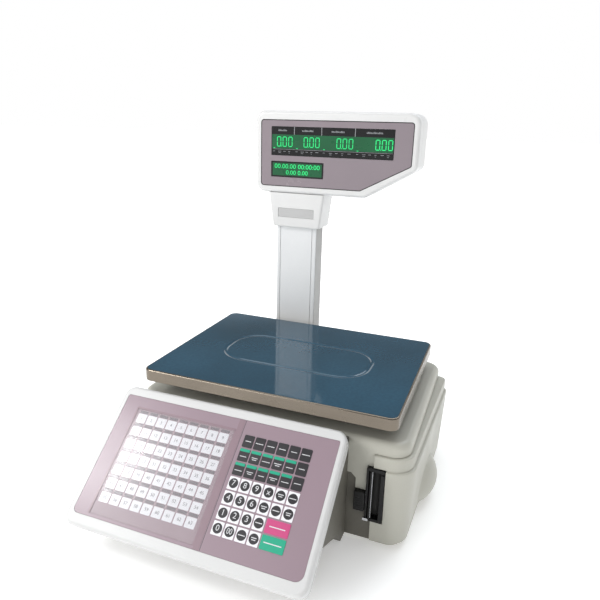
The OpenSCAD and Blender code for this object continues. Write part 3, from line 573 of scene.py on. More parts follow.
def base_cover():
    ceiling = cover.z1 - WALL
    inside = [(5, ceiling), (2, ceiling - 1), (0, ceiling - 5), (0, cover.z0)]
    levels = [(-WALL - inset, z) for inset, z in inside]
    levels += [(-0.5, cover.z0), (0, cover.z0 + 0.6)] + edge_out(cover.z1, TOP_EDGE, 8)
    bm = bmesh.new()
    slab(bm, COVER_RECT, CORNER_R, levels, steps=12)
    front = (cover.y0 - 1, cover.y0 + FRONT_CUT)
    door_levels = (cover.z0 - 1, door.z1 + 0.5)
    hole = LATCH_HOLE
    cuts = [
        lambda b: box(b, DOOR_X0 - DOOR_GAP, cover.x1 + 1, *front, *door_levels),
        lambda b: box(b, cover.x1 - 12, cover.x1 + 1, cover.y0 - 1, DOOR_Y1 + 3, *door_levels),
        lambda b: box(b, plate.x0 - 0.3, DOOR_X0, *front, plate.z0 - 0.5, plate.z1 + 0.5),
        lambda b: box(b, hole.x0, hole.x1, *front, hole.z0, hole.z1),
        skirt_cut,
        top_holes,
        rear_cuts,
        ear_slots,
    ]
    piece("base_cover_shell", carved(bm, cuts), "ivory_plastic", stands_for=["base_cover"])


base_cover()


# ---------- printer door ----------

DOME_PROUD = 16
DOME_HALF = 46
DOME_RISE = 29
DOME_Y = 5
DOME_Z = 30.5
DOME_TOP = 105
DOME_BLEND = 1.3
DOOR_WALL = 3
SKIN = (8.0, 6.5)  # how far the lower skin stands outside the base, on its side and front
BAND = (4.5, 3.5)  # the same for the band over the ledge
LEDGE_Z = 113
DRAFT = 4.2
SPLAY = 0.032
END_R = 9
FRONT_STEPS, ARC_STEPS, SIDE_STEPS = 4, 14, 84
KNUCKLE_HOLE, KNUCKLE_R = 2.5, 4.0


def door_section():
    """Outer and inner rows of the door: (height, reach past the base's side, past its front)."""
    def at(z, share, drop=0.0):
        lean = DRAFT * max(LEDGE_Z - z, 0) / (LEDGE_Z - door.z0) * share
        return (z, *(BAND[i] + (SKIN[i] - BAND[i]) * share - drop - lean for i in (0, 1)))

    round_low, round_ledge, round_top = 1.6, 2.4, 2.0
    wall_rows, inner_rows = 34, 26
    arc = [(1 - math.sin(t), 1 - math.cos(t)) for t in (math.pi / 2 * k / 5 for k in range(6))]
    outer = [(door.z0, -1.5, -1.5)]
    outer += [at(door.z0 + round_low * c, 1, round_low * s) for s, c in arc]
    low, high = door.z0 + round_low, LEDGE_Z - round_ledge
    outer += [at(low + (high - low) * k / wall_rows, 1) for k in range(1, wall_rows)]
    outer += [at(LEDGE_Z - round_ledge * s, 1, round_ledge * c) for s, c in arc]
    outer += [at(LEDGE_Z, 0, -0.5), at(LEDGE_Z + 0.15, 0, -0.15), at(LEDGE_Z + 0.5, 0)]
    outer += [at(door.z1 - round_top * s, 0, round_top * c) for s, c in arc]
    outer += [(door.z1, -2.0, -1.0), (door.z1 - DOOR_WALL, -2.0, -1.0)]
    outer += [at(door.z1 - DOOR_WALL, 0, DOOR_WALL), at(LEDGE_Z + 0.5, 0, DOOR_WALL)]
    top, bottom = LEDGE_Z - DOOR_WALL, door.z0 + DOOR_WALL
    inner = [at(top + (bottom - top) * k / inner_rows, 1, DOOR_WALL) for k in range(inner_rows + 1)]
    return outer, inner + [(bottom, -1.5, -1.5)]


def dome_reach(y, z, inset):
    """How far right the long bulge reaches at a point of the door's side."""
    long_r = (DOME_HALF ** 2 + DOME_PROUD ** 2) / (2 * DOME_PROUD)
    cross_r = (DOME_RISE ** 2 + DOME_PROUD ** 2) / (2 * DOME_PROUD)
    across = (long_r - inset) ** 2 - (y - DOME_Y) ** 2
    radius = math.sqrt(max(across, 0)) + cross_r - long_r
    if radius <= abs(z - DOME_Z):
        return -math.inf
    return cover.x1 + SKIN[0] + DOME_PROUD - cross_r + math.sqrt(radius ** 2 - (z - DOME_Z) ** 2)


def splay(y):
    """How far the door's side stands further out towards its round rear end."""
    into_end = max(y - (DOOR_Y1 - END_R), 0) / END_R
    return SPLAY * max(y - cover.y0 - CORNER_R, 0) * math.sqrt(max(1 - into_end ** 2, 0))


def soft_max(a, b, blend):
    gap = max(blend - abs(a - b), 0) / blend
    return max(a, b) + gap * gap * blend / 4


def door_point(station, z, side, front, inset):
    """Point of the door's skin; the stations run along its front, round the corner and to its end."""
    radius = CORNER_R + min(side, front)
    x1, y0 = cover.x1 + side, cover.y0 - front
    if station < FRONT_STEPS:
        return (DOOR_X0 + (x1 - radius - DOOR_X0) * station / FRONT_STEPS, y0, z)
    station -= FRONT_STEPS
    if station < ARC_STEPS:
        turn = math.pi / 2 * station / ARC_STEPS
        return (x1 - radius + radius * math.sin(turn), y0 + radius * (1 - math.cos(turn)), z)
    y = y0 + radius + (DOOR_Y1 - y0 - radius) * (station - ARC_STEPS) / (SIDE_STEPS - 1)
    at_edge = side <= -1.4 or z >= door.z1 - 0.1
    x = x1 if at_edge else x1 + splay(y)
    if side > 0.5 and z < DOME_TOP:
        x = soft_max(x, dome_reach(y, z, inset), DOME_BLEND)
    return (x, y, z)


def printer_door():
    """Door shell with its ledge, rounded edges and bulge, notched for the faceplate."""
    outer, inner = door_section()
    rings = []
    for station in range(FRONT_STEPS + ARC_STEPS + SIDE_STEPS):
        ring = [door_point(station, *row, 0) for row in outer]
        rings.append(ring + [door_point(station, *row, DOOR_WALL) for row in inner])
    bm = bmesh.new()
    loft(bm, rings)
    reach = FRONT_CUT
    notch = [lambda b: box(b, DOOR_X0 - 1, plate.x1 + 0.6, cover.y0 - reach, cover.y0 + reach,
                           plate.z0 - 1, plate.z1 + 1)]
    piece("door_shell", carved(bm, notch), "ivory_plastic", body="door", stands_for=["printer_door"])


def door_knuckles():
    """Knuckles that turn on the hinge pins, with their arms to the door."""
    edge = 0.3
    bm = bmesh.new()
    for low in HINGE_LEVELS:
        high = low + HINGE_L
        profile = [(KNUCKLE_HOLE, low), (KNUCKLE_R - edge, low), (KNUCKLE_R, low + edge),
                   (KNUCKLE_R, high - edge), (KNUCKLE_R - edge, high), (KNUCKLE_HOLE, high),
                   (KNUCKLE_HOLE, low)]
        lathe(bm, profile, Matrix.Translation((HINGE_X, HINGE_Y, 0)), caps=False)
        box(bm, HINGE_X + 2.2, HINGE_X + KNUCKLE_R - 0.1, DOOR_Y1 - 1.5, HINGE_Y - 0.5,
            low + 0.4, high - 0.4)
    bmesh.ops.remove_doubles(bm, verts=bm.verts, dist=1e-5)
    piece("door_knuckles", bm, "ivory_plastic", body="door")


def latch_ribs():
    """Thumb ribs across the latch's face."""
    pitch, width, margin = 3.5, 1.3, 2.2
    levels = [(0, -latch.y0 - 0.3)] + edge_out(-latch.y0 + 0.35, 0.3, 2)
    bm = bmesh.new()
    for k in range(5):
        z = latch.z0 + 6.5 + k * pitch
        slab(bm, rect(latch.x0 + margin, latch.x1 - margin, z, z + width), 0.5, levels, UPRIGHT, 3)
    piece("latch_ribs", bm, "black_plastic", body="latch")


def tear_edge():
    """Rounded bar with a saw-toothed steel blade along the label slot, and a clip under it."""
    x0, z0, z1 = plate.x0 + 3.9, plate.z0 + 4, plate.z1 - 4
    bm = bmesh.new()
    levels = [(0, -plate.y0 - 6)] + edge_out(-plate.y0 - 0.4, 1.3, 4)
    slab(bm, rect(x0, x0 + 3.2, z0, z1), 1.4, levels, UPRIGHT, 5)
    piece("tear_bar", bm, "black_plastic")
    bm = bmesh.new()
    teeth = 44
    step = (z1 - z0 - 2) / teeth
    root, tip = x0 + 3.3, x0 + 4.3
    outline = [(x0 + 2.4, z1 - 1), (x0 + 2.4, z0 + 1)]
    for k in range(teeth):
        low = z0 + 1 + k * step
        outline += [(root, low), (tip, low + step / 2)]
    outline.append((root, z1 - 1))
    depths = (-plate.y0 - 2.2, -plate.y0 - 1.9)
    loft(bm, [[(x, z, depth) for x, z in outline] for depth in depths], UPRIGHT)
    piece("tear_blade", bm, "steel")
    bm = bmesh.new()
    levels = [(0, -plate.y0 - 3)] + edge_out(-plate.y0 + 0.5, 0.4, 2)
    slab(bm, rect(plate.x0 - 1.6, x0 + 1.6, plate.z0 + 0.6, plate.z0 + 4.2), 0.8, levels, UPRIGHT, 4)
    piece("peel_clip", bm, "steel")


printer_door()
door_knuckles()
latch_ribs()
tear_edge()


# ---------- weighing pan ----------

pan = span("pan")
PAN_R = 12
PAN_EDGE = 2.2
PAN_T = 1.2
TRACK_X = 112
TRACK_Y = 53
TRACK_R = 44
TRACK_W = 8.0
TRACK_DEPTH = 1.0
TRACK_STEPS = 10


def track(grow):
    """Long round-ended outline pressed into the pan."""
    return rounded(rect(-TRACK_X, TRACK_X, -TRACK_Y, TRACK_Y), TRACK_R, grow, 16)


def pan_outline(grow):
    return rounded(rect(pan.x0, pan.x1, pan.y0, pan.y1), PAN_R, grow, 8)


def pan_directions():
    """Directions in which the pan's outline or the track has a point."""
    points = pan_outline(0) + track(0)
    return sorted({round(math.atan2(y, x), 4) for x, y in points})


def level_ring(outline, z):
    """Points of an outline seen from the pan's middle in the pan's directions, at one height."""
    ring = []
    for angle in PAN_WAYS:
        ray = Vector((math.cos(angle), math.sin(angle)))
        best = 0.0
        for i, a in enumerate(outline):
            a, b = Vector(a), Vector(outline[(i + 1) % len(outline)])
            along = b - a
            cross = ray.cross(along)
            if abs(cross) < 1e-12:
                continue
            reach, share = a.cross(along) / cross, a.cross(ray) / cross
            if -1e-9 <= share <= 1 + 1e-9 and reach > best:
                best = reach
        ring.append((*(ray * best), z))
    return ring


def track_rings(top):
    """Rings across the pressed groove, from its outer edge inwards."""
    rings = []
    for k in reversed(range(TRACK_STEPS + 1)):
        drop = TRACK_DEPTH * math.sin(math.pi * k / TRACK_STEPS) ** 2
        rings.append(level_ring(track(-TRACK_W + TRACK_W * k / TRACK_STEPS), top - drop))
    return rings


PAN_WAYS = pan_directions()


def weighing_pan():
    """Folded steel pan, hollow below, with the groove in its top."""
    top = pan.z1
    inside = [(-PAN_T - 1.0, top - PAN_T), (-PAN_T, top - PAN_T - 1.0), (-PAN_T, pan.z0)]
    outside = [(-0.2, pan.z0), (0, pan.z0 + 0.4)] + edge_out(top, PAN_EDGE, 5)
    bm = bmesh.new()
    rings = [level_ring(pan_outline(grow), z) for grow, z in inside + outside]
    loft(bm, rings + track_rings(top))
    piece("weighing_pan", bm, "stainless", body="weigh_pan", stands_for=["pan"])


def pan_film():
    """Blue film that lies over the pan's top and follows the pressed groove."""
    low, high = pan.z1 + 0.02, pan.z1 + 0.14
    edge = pan_outline(-PAN_EDGE - 0.4)
    under = [level_ring(edge, low)] + track_rings(low)
    over = [level_ring(edge, high)] + track_rings(high)
    bm = bmesh.new()
    loft(bm, under[::-1] + over)
    piece("pan_film", bm, "blue_film", slot="clear_film", body="weigh_pan")


weighing_pan()
pan_film()


# ---------- keyboard console ----------

console = span("console_top", "console_bottom")
overlay = SimpleNamespace(x0=-184.1, x1=112.8, y0=-169.9, y1=-12.9)
CONSOLE_RECT = rect(console.x0, console.x1, -CONSOLE_L, 0)
CONSOLE_R = 14
CONSOLE_T = 22
OVERLAY_RECT = rect(overlay.x0, overlay.x1, overlay.y0, overlay.y1)
OVERLAY_RADII = [7, 10, 2, 3]
FILM_Z = -0.2
SHEET_Z = -0.6
SEAM_X = -8.8
KEY_COLS, KEY_ROWS = 6, 7
FILM_ROWS, WIDE_COL, WIDE_ROW = 3, 4, 5  # rows of dark keys; where the two wide keys stand
KEY_X0, KEY_Y1 = -3.8, -31
KEY_DX, KEY_DY = 14.9, 17.15
KEY_W, KEY_L = 13.3, 15.3
KEY_Z = 0.35
DISC_Z = KEY_Z + 0.08
PLU = SimpleNamespace(x0=-162, x1=-18, y0=-166, y1=-28)
PLU_COLS, PLU_ROWS = 9, 7
PLU_X0, PLU_Y1 = -157, -31
CELL_W, CELL_L = 13.2, 12.2
CELL_Z = -0.45
BAR_L = 3.6
FIGURES = {(0, 3): "7", (1, 3): "8", (2, 3): "9", (3, 3): "x", (0, 4): "4", (1, 4): "5", (2, 4): "6",
           (0, 5): "1", (1, 5): "2", (2, 5): "3", (0, 6): "0", (1, 6): "00"}


def console_shells():
    """Upper and lower shell, each hollow, with a fine gap between them."""
    bm = bmesh.new()
    levels = [(-3, -TOP_SHELL), (-0.7, -TOP_SHELL), (0, -TOP_SHELL + 0.7)] + edge_out(0, 4.2, 7)
    slab(bm, CONSOLE_RECT, CONSOLE_R, levels, ON_CONSOLE, 10)
    hollow = [(-3, -TOP_SHELL - 1), (-3, -4)]
    cuts = [lambda b: slab(b, OVERLAY_RECT, OVERLAY_RADII, [(0, -1.2), (0, 1)], ON_CONSOLE),
            lambda b: slab(b, CONSOLE_RECT, CONSOLE_R, hollow, ON_CONSOLE)]
    piece("console_top_shell", carved(bm, cuts), "white_plastic", stands_for=["console_top"])
    bm = bmesh.new()
    rim = -TOP_SHELL - 0.35
    levels = edge_in(-CONSOLE_T, 5.5, 7) + [(0, rim - 0.6), (-0.6, rim)]
    slab(bm, CONSOLE_RECT, CONSOLE_R, levels, ON_CONSOLE, 10)
    basin = [(-8, -CONSOLE_T + 3), (-3, -CONSOLE_T + 7), (-3, 0)]
    cuts = [lambda b: slab(b, CONSOLE_RECT, CONSOLE_R, basin, ON_CONSOLE),
            lambda b: box(b, -50, -20, -60, -40, -CONSOLE_T - 1, -10, ON_CONSOLE)]
    piece("console_bottom_shell", carved(bm, cuts), "white_plastic", stands_for=["console_bottom"])


def console_overlay():
    """Printed front film with its window for the exchangeable sheet."""
    gap, y0, y1 = 0.25, overlay.y0 + 1, overlay.y1 - 1
    outline = rect(overlay.x0 + gap, overlay.x1 - gap, overlay.y0 + gap, overlay.y1 - gap)
    bm = bmesh.new()
    slab(bm, outline, OVERLAY_RADII, [(0, -1.15), (0, FILM_Z - 0.1), (-0.12, FILM_Z)], ON_CONSOLE)
    cuts = [lambda b: box(b, PLU.x0, PLU.x1, PLU.y0, PLU.y1, -0.9, 1, ON_CONSOLE)]
    piece("overlay_panel", carved(bm, cuts), "overlay_film", stands_for=["console_overlay"])
    bm = bmesh.new()
    seam = rect(SEAM_X - 0.35, SEAM_X + 0.35, y0, y1)
    slab(bm, seam, 0.1, [(0, FILM_Z), (0, FILM_Z + 0.06)], ON_CONSOLE, 1)
    piece("overlay_seam", bm, "bar_dark", slot="overlay_film")
    bm = bmesh.new()
    pad(bm, rect(PLU.x1 + 0.4, SEAM_X - 0.9, y0, y1), 0.5, FILM_Z, 0.02, 0.1, ON_CONSOLE)
    piece("sheet_pocket_edge", bm, "printed_sheet", slot="overlay_film")


def plu_grid():
    """Exchangeable sheet with its dark bars, white cells and their numbers."""
    inset = 0.5
    bm = bmesh.new()
    box(bm, PLU.x0 + inset, PLU.x1 - inset, PLU.y0 + inset, PLU.y1 - inset, -0.88, SHEET_Z, ON_CONSOLE)
    piece("insert_sheet", bm, "printed_sheet", slot="paper", stands_for=["plu_sheet"])
    cells, bars, numbers = bmesh.new(), bmesh.new(), bmesh.new()
    for row in range(PLU_ROWS):
        top = PLU_Y1 - row * KEY_DY
        high = top - BAR_L - 0.7
        for col in range(PLU_COLS):
            left = PLU_X0 + col * KEY_DX
            bar = rect(left + 0.9, left + CELL_W - 0.4, top - BAR_L, top)
            pad(bars, bar, 0.5, SHEET_Z, SHEET_Z + 0.08, 0.03, ON_CONSOLE, 2)
            cell = rect(left, left + CELL_W, high - CELL_L, high)
            pad(cells, cell, 0.9, SHEET_Z, CELL_Z, 0.08, ON_CONSOLE, 3)
            number = str(row * PLU_COLS + col + 1)
            glyphs(numbers, number, 5.6, left + CELL_W / 2, high - CELL_L / 2, CELL_Z, ON_CONSOLE)
    piece("sheet_cells", cells, "cell_white", slot="paper")
    piece("sheet_bars", bars, "bar_dark", slot="paper")
    piece("sheet_numbers", numbers, "print_grey", slot="paper")


def plu_pocket():
    """Clear pocket over the sheet, with its welded edges."""
    inset, rim = 0.6, 1.4
    outline = rect(PLU.x0 + inset, PLU.x1 - inset, PLU.y0 + inset, PLU.y1 - inset)
    bm = bmesh.new()
    pad(bm, outline, 1.5, -0.36, -0.12, 0.1, ON_CONSOLE)
    piece("sheet_pocket", bm, "clear_film", stands_for=["plu_cover"])
    bm = bmesh.new()
    welds = [(PLU.x0 - rim, PLU.x0 + rim, PLU.y0, PLU.y1), (PLU.x1 - rim, PLU.x1 + rim, PLU.y0, PLU.y1),
             (PLU.x0, PLU.x1, PLU.y1 - rim, PLU.y1 + rim)]
    for weld in welds:
        pad(bm, rect(*weld), 0.3, FILM_Z, 0.05, 0.12, ON_CONSOLE, 2)
    piece("pocket_welds", bm, "printed_sheet", slot="overlay_film")


def bars_of_print(bm, x, y, lengths, z, thick=0.9):
    """Short printed dashes in place of words."""
    pitch = 2.2
    for k, length in enumerate(lengths):
        middle = y + (len(lengths) - 1) * pitch / 2 - k * pitch
        box(bm, x - length / 2, x + length / 2, middle - thick / 2, middle + thick / 2, z, z + INK,
            ON_CONSOLE)


def film_key(parts, col, row, x, y, corners):
    """Dark key with printed dashes; the middle rows carry a green band as well."""
    pad(parts["dark"], corners, 1.3, FILM_Z, KEY_Z, 0.25, ON_CONSOLE)
    lengths = [7.5 + (3 * col + 5 * row) % 4 * 0.8]
    if row > 0 and col < 5:
        left, (right, top) = corners[0][0], corners[2]
        band = rect(left + 0.3, right - 0.3, top - 3.6, top - 0.2)
        pad(parts["green"], band, 0.6, KEY_Z, KEY_Z + 0.06, 0.03, ON_CONSOLE)
        lengths += [5.5] * (col % 2)
        y -= 1.8
    bars_of_print(parts["marks"], x, y, lengths, KEY_Z, 0.8)


def disc_key(parts, col, row, x, y, corners):
    """White key with a dark disc that carries a figure or dashes."""
    pad(parts["white"], corners, 1.0, FILM_Z, KEY_Z, 0.25, ON_CONSOLE)
    disc = [(5.75, KEY_Z), (5.75, KEY_Z + 0.05), (5.6, DISC_Z)]
    lathe(parts["discs"], disc, ON_CONSOLE @ Matrix.Translation((x, y, 0)))
    if (col, row) in FIGURES:
        text = FIGURES[col, row]
        squeeze = 0.75 if len(text) > 1 else 1
        glyphs(parts["marks"], text, 9.2, x, y + 0.2, DISC_Z, ON_CONSOLE, squeeze)
    else:
        lengths = [6.2 + (col + row) % 3, 4.8][: 1 + (col + row) % 2]
        bars_of_print(parts["marks"], x, y, lengths, DISC_Z)


def keypad():
    """Flat keys: dark film keys above, disc keys below and two wide coloured ones."""
    parts = {name: bmesh.new() for name in ("dark", "white", "green", "pink", "discs", "marks")}
    for row in range(KEY_ROWS):
        for col in range(KEY_COLS if row < WIDE_ROW else WIDE_COL + 1):
            wide = col == WIDE_COL and row >= WIDE_ROW
            x0, y1 = KEY_X0 + col * KEY_DX, KEY_Y1 - row * KEY_DY
            x1, y0 = x0 + KEY_W + (KEY_DX if wide else 0), y1 - KEY_L
            x, y = (x0 + x1) / 2, (y0 + y1) / 2
            corners = rect(x0, x1, y0, y1)
            if row < FILM_ROWS:
                film_key(parts, col, row, x, y, corners)
            elif wide:
                colour = "pink" if row == WIDE_ROW else "green"
                pad(parts[colour], corners, 1.0, FILM_Z, KEY_Z, 0.25, ON_CONSOLE)
                bars_of_print(parts["marks"], x, y, [19 + 2 * (row - WIDE_ROW)], KEY_Z, 1.1)
            else:
                disc_key(parts, col, row, x, y, corners)
    piece("keys_dark", parts["dark"], "key_film", stands_for=["keypad_keys"])
    piece("keys_white", parts["white"], "key_white", slot="key_film")
    piece("keys_green", parts["green"], "key_green", slot="key_film")
    piece("key_pink", parts["pink"], "key_pink", slot="key_film")
    piece("key_discs", parts["discs"], "key_film")
    piece("key_marks", parts["marks"], "print_pale", slot="key_film")


console_shells()
console_overlay()
plu_grid()
plu_pocket()
keypad()


# ---------- pole and neck ----------

neck = span("neck")
pole = span("pole")
neck_plate = span("neck_plate")
NECK_FOOT = (-103, -22)  # left and right edge of its lower end


def neck_shell():
    """Flared neck between the pole and the display head."""
    height = neck.z1 - neck.z0
    bm = bmesh.new()
    rings = []
    for inset, rise in [(2.0, 0), (0.9, 0.3), (0.25, 1.1), (0, 2.2), (0, 20), (0, 40), (0, height)]:
        share = rise / height
        x0 = NECK_FOOT[0] + (neck.x0 - NECK_FOOT[0]) * share + inset
        x1 = NECK_FOOT[1] + (neck.x1 - NECK_FOOT[1]) * share - inset
        outline = rounded(rect(x0, x1, neck.y0 + inset, neck.y1 - inset), 3.5, 0, 6)
        rings.append([(x, y, neck.z0 + rise) for x, y in outline])
    loft(bm, rings)
    gap = 0.3
    cuts = [lambda b: box(b, pole.x0 - 0.1, pole.x1 + 0.1, pole.y0 - 0.1, pole.y1 + 0.1,
                          neck.z0 - 1, pole.z1 + 0.2),
            lambda b: box(b, neck_plate.x0 - gap, neck_plate.x1 + gap, neck.y0 - 1, neck.y0 + 1.2,
                          neck_plate.z0 - gap, neck_plate.z1 + gap)]
    piece("neck_shell", carved(bm, cuts), "white_plastic", stands_for=["neck"])


neck_shell()


# ---------- display head ----------

head = span("display_front", "display_rear")
window = span("display_window")
glass = span("display_lcds")
HEAD_CORNERS = [(head.x0, head.z0), (50, head.z0), (head.x1, 446), (head.x1, head.z1),
                (head.x0, head.z1)]
HEAD_RADII = [16, 9, 13, 17, 16]
WINDOW_CORNERS = [(window.x0 - 0.2, window.z0 - 0.2), (42.5, window.z0 - 0.2), (window.x1 + 0.2, 451),
                  (window.x1 + 0.2, window.z1 + 0.2), (window.x0 - 0.2, window.z1 + 0.2)]
WINDOW_RADII = [5, 2.5, 5, 5, 5]
SPLIT = 24
LCD = SimpleNamespace(x0=glass.x0 + 0.1, x1=glass.x1, z0=glass.z1 - 44, z1=glass.z1)
DATE = SimpleNamespace(x0=glass.x0, x1=glass.x0 + 88.5, z0=glass.z0, z1=glass.z0 + 24.5)
HEADER_Z = LCD.z1 - 12
CAPTION_Z = LCD.z0 + 10.5
DIVIDERS = (-67.8, -22.8, 30.5)
FIGURE_ENDS = (-71.2, -26.2, 27.4, 88.2)
DIGIT_W, DIGIT_H, DIGIT_DX = 5.9, 14.2, 9.6
DIGIT_Z = CAPTION_Z + 3.6
REARWARD = Matrix.Translation((LCD.x0 + LCD.x1, 0, 0)) @ Matrix.Rotation(math.pi, 4, "Z") @ UPRIGHT


def segment(bm, x0, y0, x1, y1, thick, z, place):
    """Slim bar with pointed ends between two points."""
    along = Vector((x1 - x0, y1 - y0)).normalized() * thick / 2
    across = Vector((-along.y, along.x))
    a, b = Vector((x0, y0)), Vector((x1, y1))
    outline = [a, a + along - across, b - along - across, b, b - along + across, a + along + across]
    loft(bm, [[(p.x, p.y, z) for p in outline], [(p.x, p.y, z + INK) for p in outline]], place)


def zero_digit(bm, x, y, z, place):
    """Seven-segment nought."""
    thick, gap = 1.15, 0.25
    half = DIGIT_H / 2
    x1, y1 = x + DIGIT_W, y + DIGIT_H
    for a, b in (((x, y), (x1, y)), ((x, y1), (x1, y1)), ((x, y), (x, y + half)),
                 ((x, y + half), (x, y1)), ((x1, y), (x1, y + half)), ((x1, y + half), (x1, y1))):
        way = Vector((b[0] - a[0], b[1] - a[1])).normalized() * gap
        segment(bm, a[0] + way.x, a[1] + way.y, b[0] - way.x, b[1] - way.y, thick, z, place)


def field_marks(parts, left, right, last, face, place):
    """Header with letter-like blocks, a lit 0.00 that ends at last, and a caption of dashes."""
    header = rect(left + 0.8, right - 0.8, HEADER_Z + 0.2, LCD.z1 - 0.3)
    pad(parts["black"], header, 0.6, face, face + 0.12, 0.05, place, 2)
    low, letters = HEADER_Z + 4.9, int((right - left) / 5)
    for k in range(letters):
        x = (left + right) / 2 + (k - letters / 2) * 2.1
        high = low + 1.8 + (k * 3 + letters) % 4 * 0.3
        box(parts["print"], x, x + 1.4, low, high, face + 0.12, face + 0.16, place)
    start = last - 2 * DIGIT_DX - DIGIT_W
    for k in range(3):
        zero_digit(parts["lit"], start + k * DIGIT_DX, DIGIT_Z, face + INK, place)
    lit_face = (face + INK, face + 2 * INK)
    point = start + DIGIT_W + 0.9
    box(parts["lit"], point, point + 1.2, CAPTION_Z + 3.2, CAPTION_Z + 4.4, *lit_face, place)
    box(parts["lit"], left + 3.5, left + 6.2, CAPTION_Z + 0.5, CAPTION_Z + 1.4, *lit_face, place)
    marks = int((right - left) / 9)
    printed_face = (face, face + 0.04)
    for k in range(marks):
        x = left + 3 + k * (right - left - 4) / marks
        width = 3.2 + (k * 5) % 3
        box(parts["print"], x, x + width, CAPTION_Z - 4.4, CAPTION_Z - 3.7, *printed_face, place)
        if k % 2:
            box(parts["print"], x + 0.6, x + width - 0.8, CAPTION_Z - 6.8, CAPTION_Z - 6.2,
                *printed_face, place)


def price_lcd(tag, place, face, body_y, stands_for=()):
    """Black glass with header blocks, a green field with figures and a caption strip."""
    parts = {name: bmesh.new() for name in ("black", "field", "lit", "print")}
    body = [(0, body_y), (0, face - 0.1), (-0.1, face)]
    slab(parts["black"], rect(LCD.x0, LCD.x1, LCD.z0, LCD.z1), 0.8, body, place, 3)
    field = rect(LCD.x0 + 1.2, LCD.x1 - 1.2, CAPTION_Z, HEADER_Z)
    pad(parts["field"], field, 0.3, face, face + INK, 0.02, place, 2)
    edges = [LCD.x0, *DIVIDERS, LCD.x1]
    for left, right, last in zip(edges, edges[1:], FIGURE_ENDS):
        field_marks(parts, left, right, last, face, place)
    ink = (face, face + INK, place)
    for x in DIVIDERS:
        box(parts["print"], x - 0.55, x + 0.55, HEADER_Z + 0.2, LCD.z1 - 0.1, *ink)
    box(parts["print"], LCD.x0 + 2, LCD.x1 - 2, CAPTION_Z - 1.2, CAPTION_Z - 0.7, *ink)
    piece(f"{tag}_lcd_glass", parts["black"], "lcd_black", slot="lcd", stands_for=stands_for)
    piece(f"{tag}_lcd_field", parts["field"], "lcd_green", slot="lcd")
    piece(f"{tag}_lcd_figures", parts["lit"], "lcd_lit", slot="lcd")
    piece(f"{tag}_lcd_print", parts["print"], "print_dim", slot="lcd")


def clock_lcd(place, face, body_y):
    """Small glass with two lines of lit noughts."""
    black, field, figures = bmesh.new(), bmesh.new(), bmesh.new()
    body = [(0, body_y), (0, face - 0.1), (-0.1, face)]
    slab(black, rect(DATE.x0, DATE.x1, DATE.z0, DATE.z1), 1.2, body, place, 3)
    outline = rect(DATE.x0 + 2.6, DATE.x1 - 2.6, DATE.z0 + 2.4, DATE.z1 - 2.4)
    pad(field, outline, 0.3, face, face + INK, 0.02, place, 2)
    middle = (DATE.x0 + DATE.x1) / 2
    glyphs(figures, "00.00.00 00:00:00", 9.6, middle, DATE.z1 - 7.9, face + INK, place, 1.12)
    glyphs(figures, "0.00 0.00", 9.2, middle, DATE.z0 + 7.2, face + INK, place, 1.1)
    piece("clock_lcd_glass", black, "lcd_black", slot="lcd")
    piece("clock_lcd_field", field, "lcd_green", slot="lcd")
    piece("clock_lcd_figures", figures, "lcd_lit", slot="lcd")


def opening(glass_box, grow, low, high):
    """Cutter for the opening over a glass."""
    corners = rect(glass_box.x0 - grow, glass_box.x1 + grow, glass_box.z0 - grow, glass_box.z1 + grow)
    return lambda b: slab(b, corners, 1.0, [(0, low), (0, high)], UPRIGHT, 3)


def head_cut(levels):
    return lambda b: slab(b, HEAD_CORNERS, HEAD_RADII, levels, UPRIGHT)


def window_cut(grow, low, high):
    return lambda b: slab(b, WINDOW_CORNERS, WINDOW_RADII, [(grow, low), (grow, high)], UPRIGHT, 6)


def cable_hole(from_front):
    y0, y1 = head.y0 + from_front, head.y0 + 40
    return lambda b: box(b, -80, -50, y0, y1, head.z0 - 1, head.z0 + 5)


def display_head():
    """Front and rear shell, hollow, each with a recess for its window."""
    front, split, back = -head.y0, -head.y0 - SPLIT, -head.y1
    bm = bmesh.new()
    levels = [(-0.5, split), (0, split + 0.5)] + edge_out(front, 5.2, 8)
    slab(bm, HEAD_CORNERS, HEAD_RADII, levels, UPRIGHT, 12)
    cuts = [head_cut([(-3, split - 1), (-3, front - 8), (-6, front - 3)]),
            window_cut(0, front - 1.4, front + 1),
            opening(LCD, 1, front - 4, front),
            opening(DATE, 1, front - 4, front),
            cable_hole(18)]
    piece("display_front_shell", carved(bm, cuts), "white_plastic", stands_for=["display_front"])
    bm = bmesh.new()
    levels = edge_in(back, 7, 8) + [(0, split - 0.85), (-0.5, split - 0.35)]
    slab(bm, HEAD_CORNERS, HEAD_RADII, levels, UPRIGHT, 12)
    cuts = [head_cut([(-8, back + 3), (-4, back + 8), (-4, split + 1)]),
            window_cut(0, back - 1, back + 1.4),
            opening(LCD, 1, back, back + 4),
            cable_hole(20)]
    piece("display_rear_shell", carved(bm, cuts), "white_plastic", stands_for=["display_rear"])


def window_film(name, node, low, high, shown):
    """Printed window with openings for the glass, and a black strip in the gap round it: painted shade
    of the gap.
    """
    bm = bmesh.new()
    slab(bm, WINDOW_CORNERS, WINDOW_RADII, [(-1.3, low), (-1.3, high)], UPRIGHT, 6)
    cuts = [opening(glass_box, 0.15, low - 1, high + 1) for glass_box in shown]
    piece(name, carved(bm, cuts), "window_film", stands_for=[node])
    bm = bmesh.new()
    # painted shade: black strip laid at the bottom of the gap round the window film
    slab(bm, WINDOW_CORNERS, WINDOW_RADII, [(-0.1, low - 0.05), (-0.1, low + 0.35)], UPRIGHT, 6)
    gap_shade = carved(bm, [window_cut(-1.4, low - 1, high + 1)])
    piece(f"{name}_gasket", gap_shade, "black_plastic", slot="window_film")


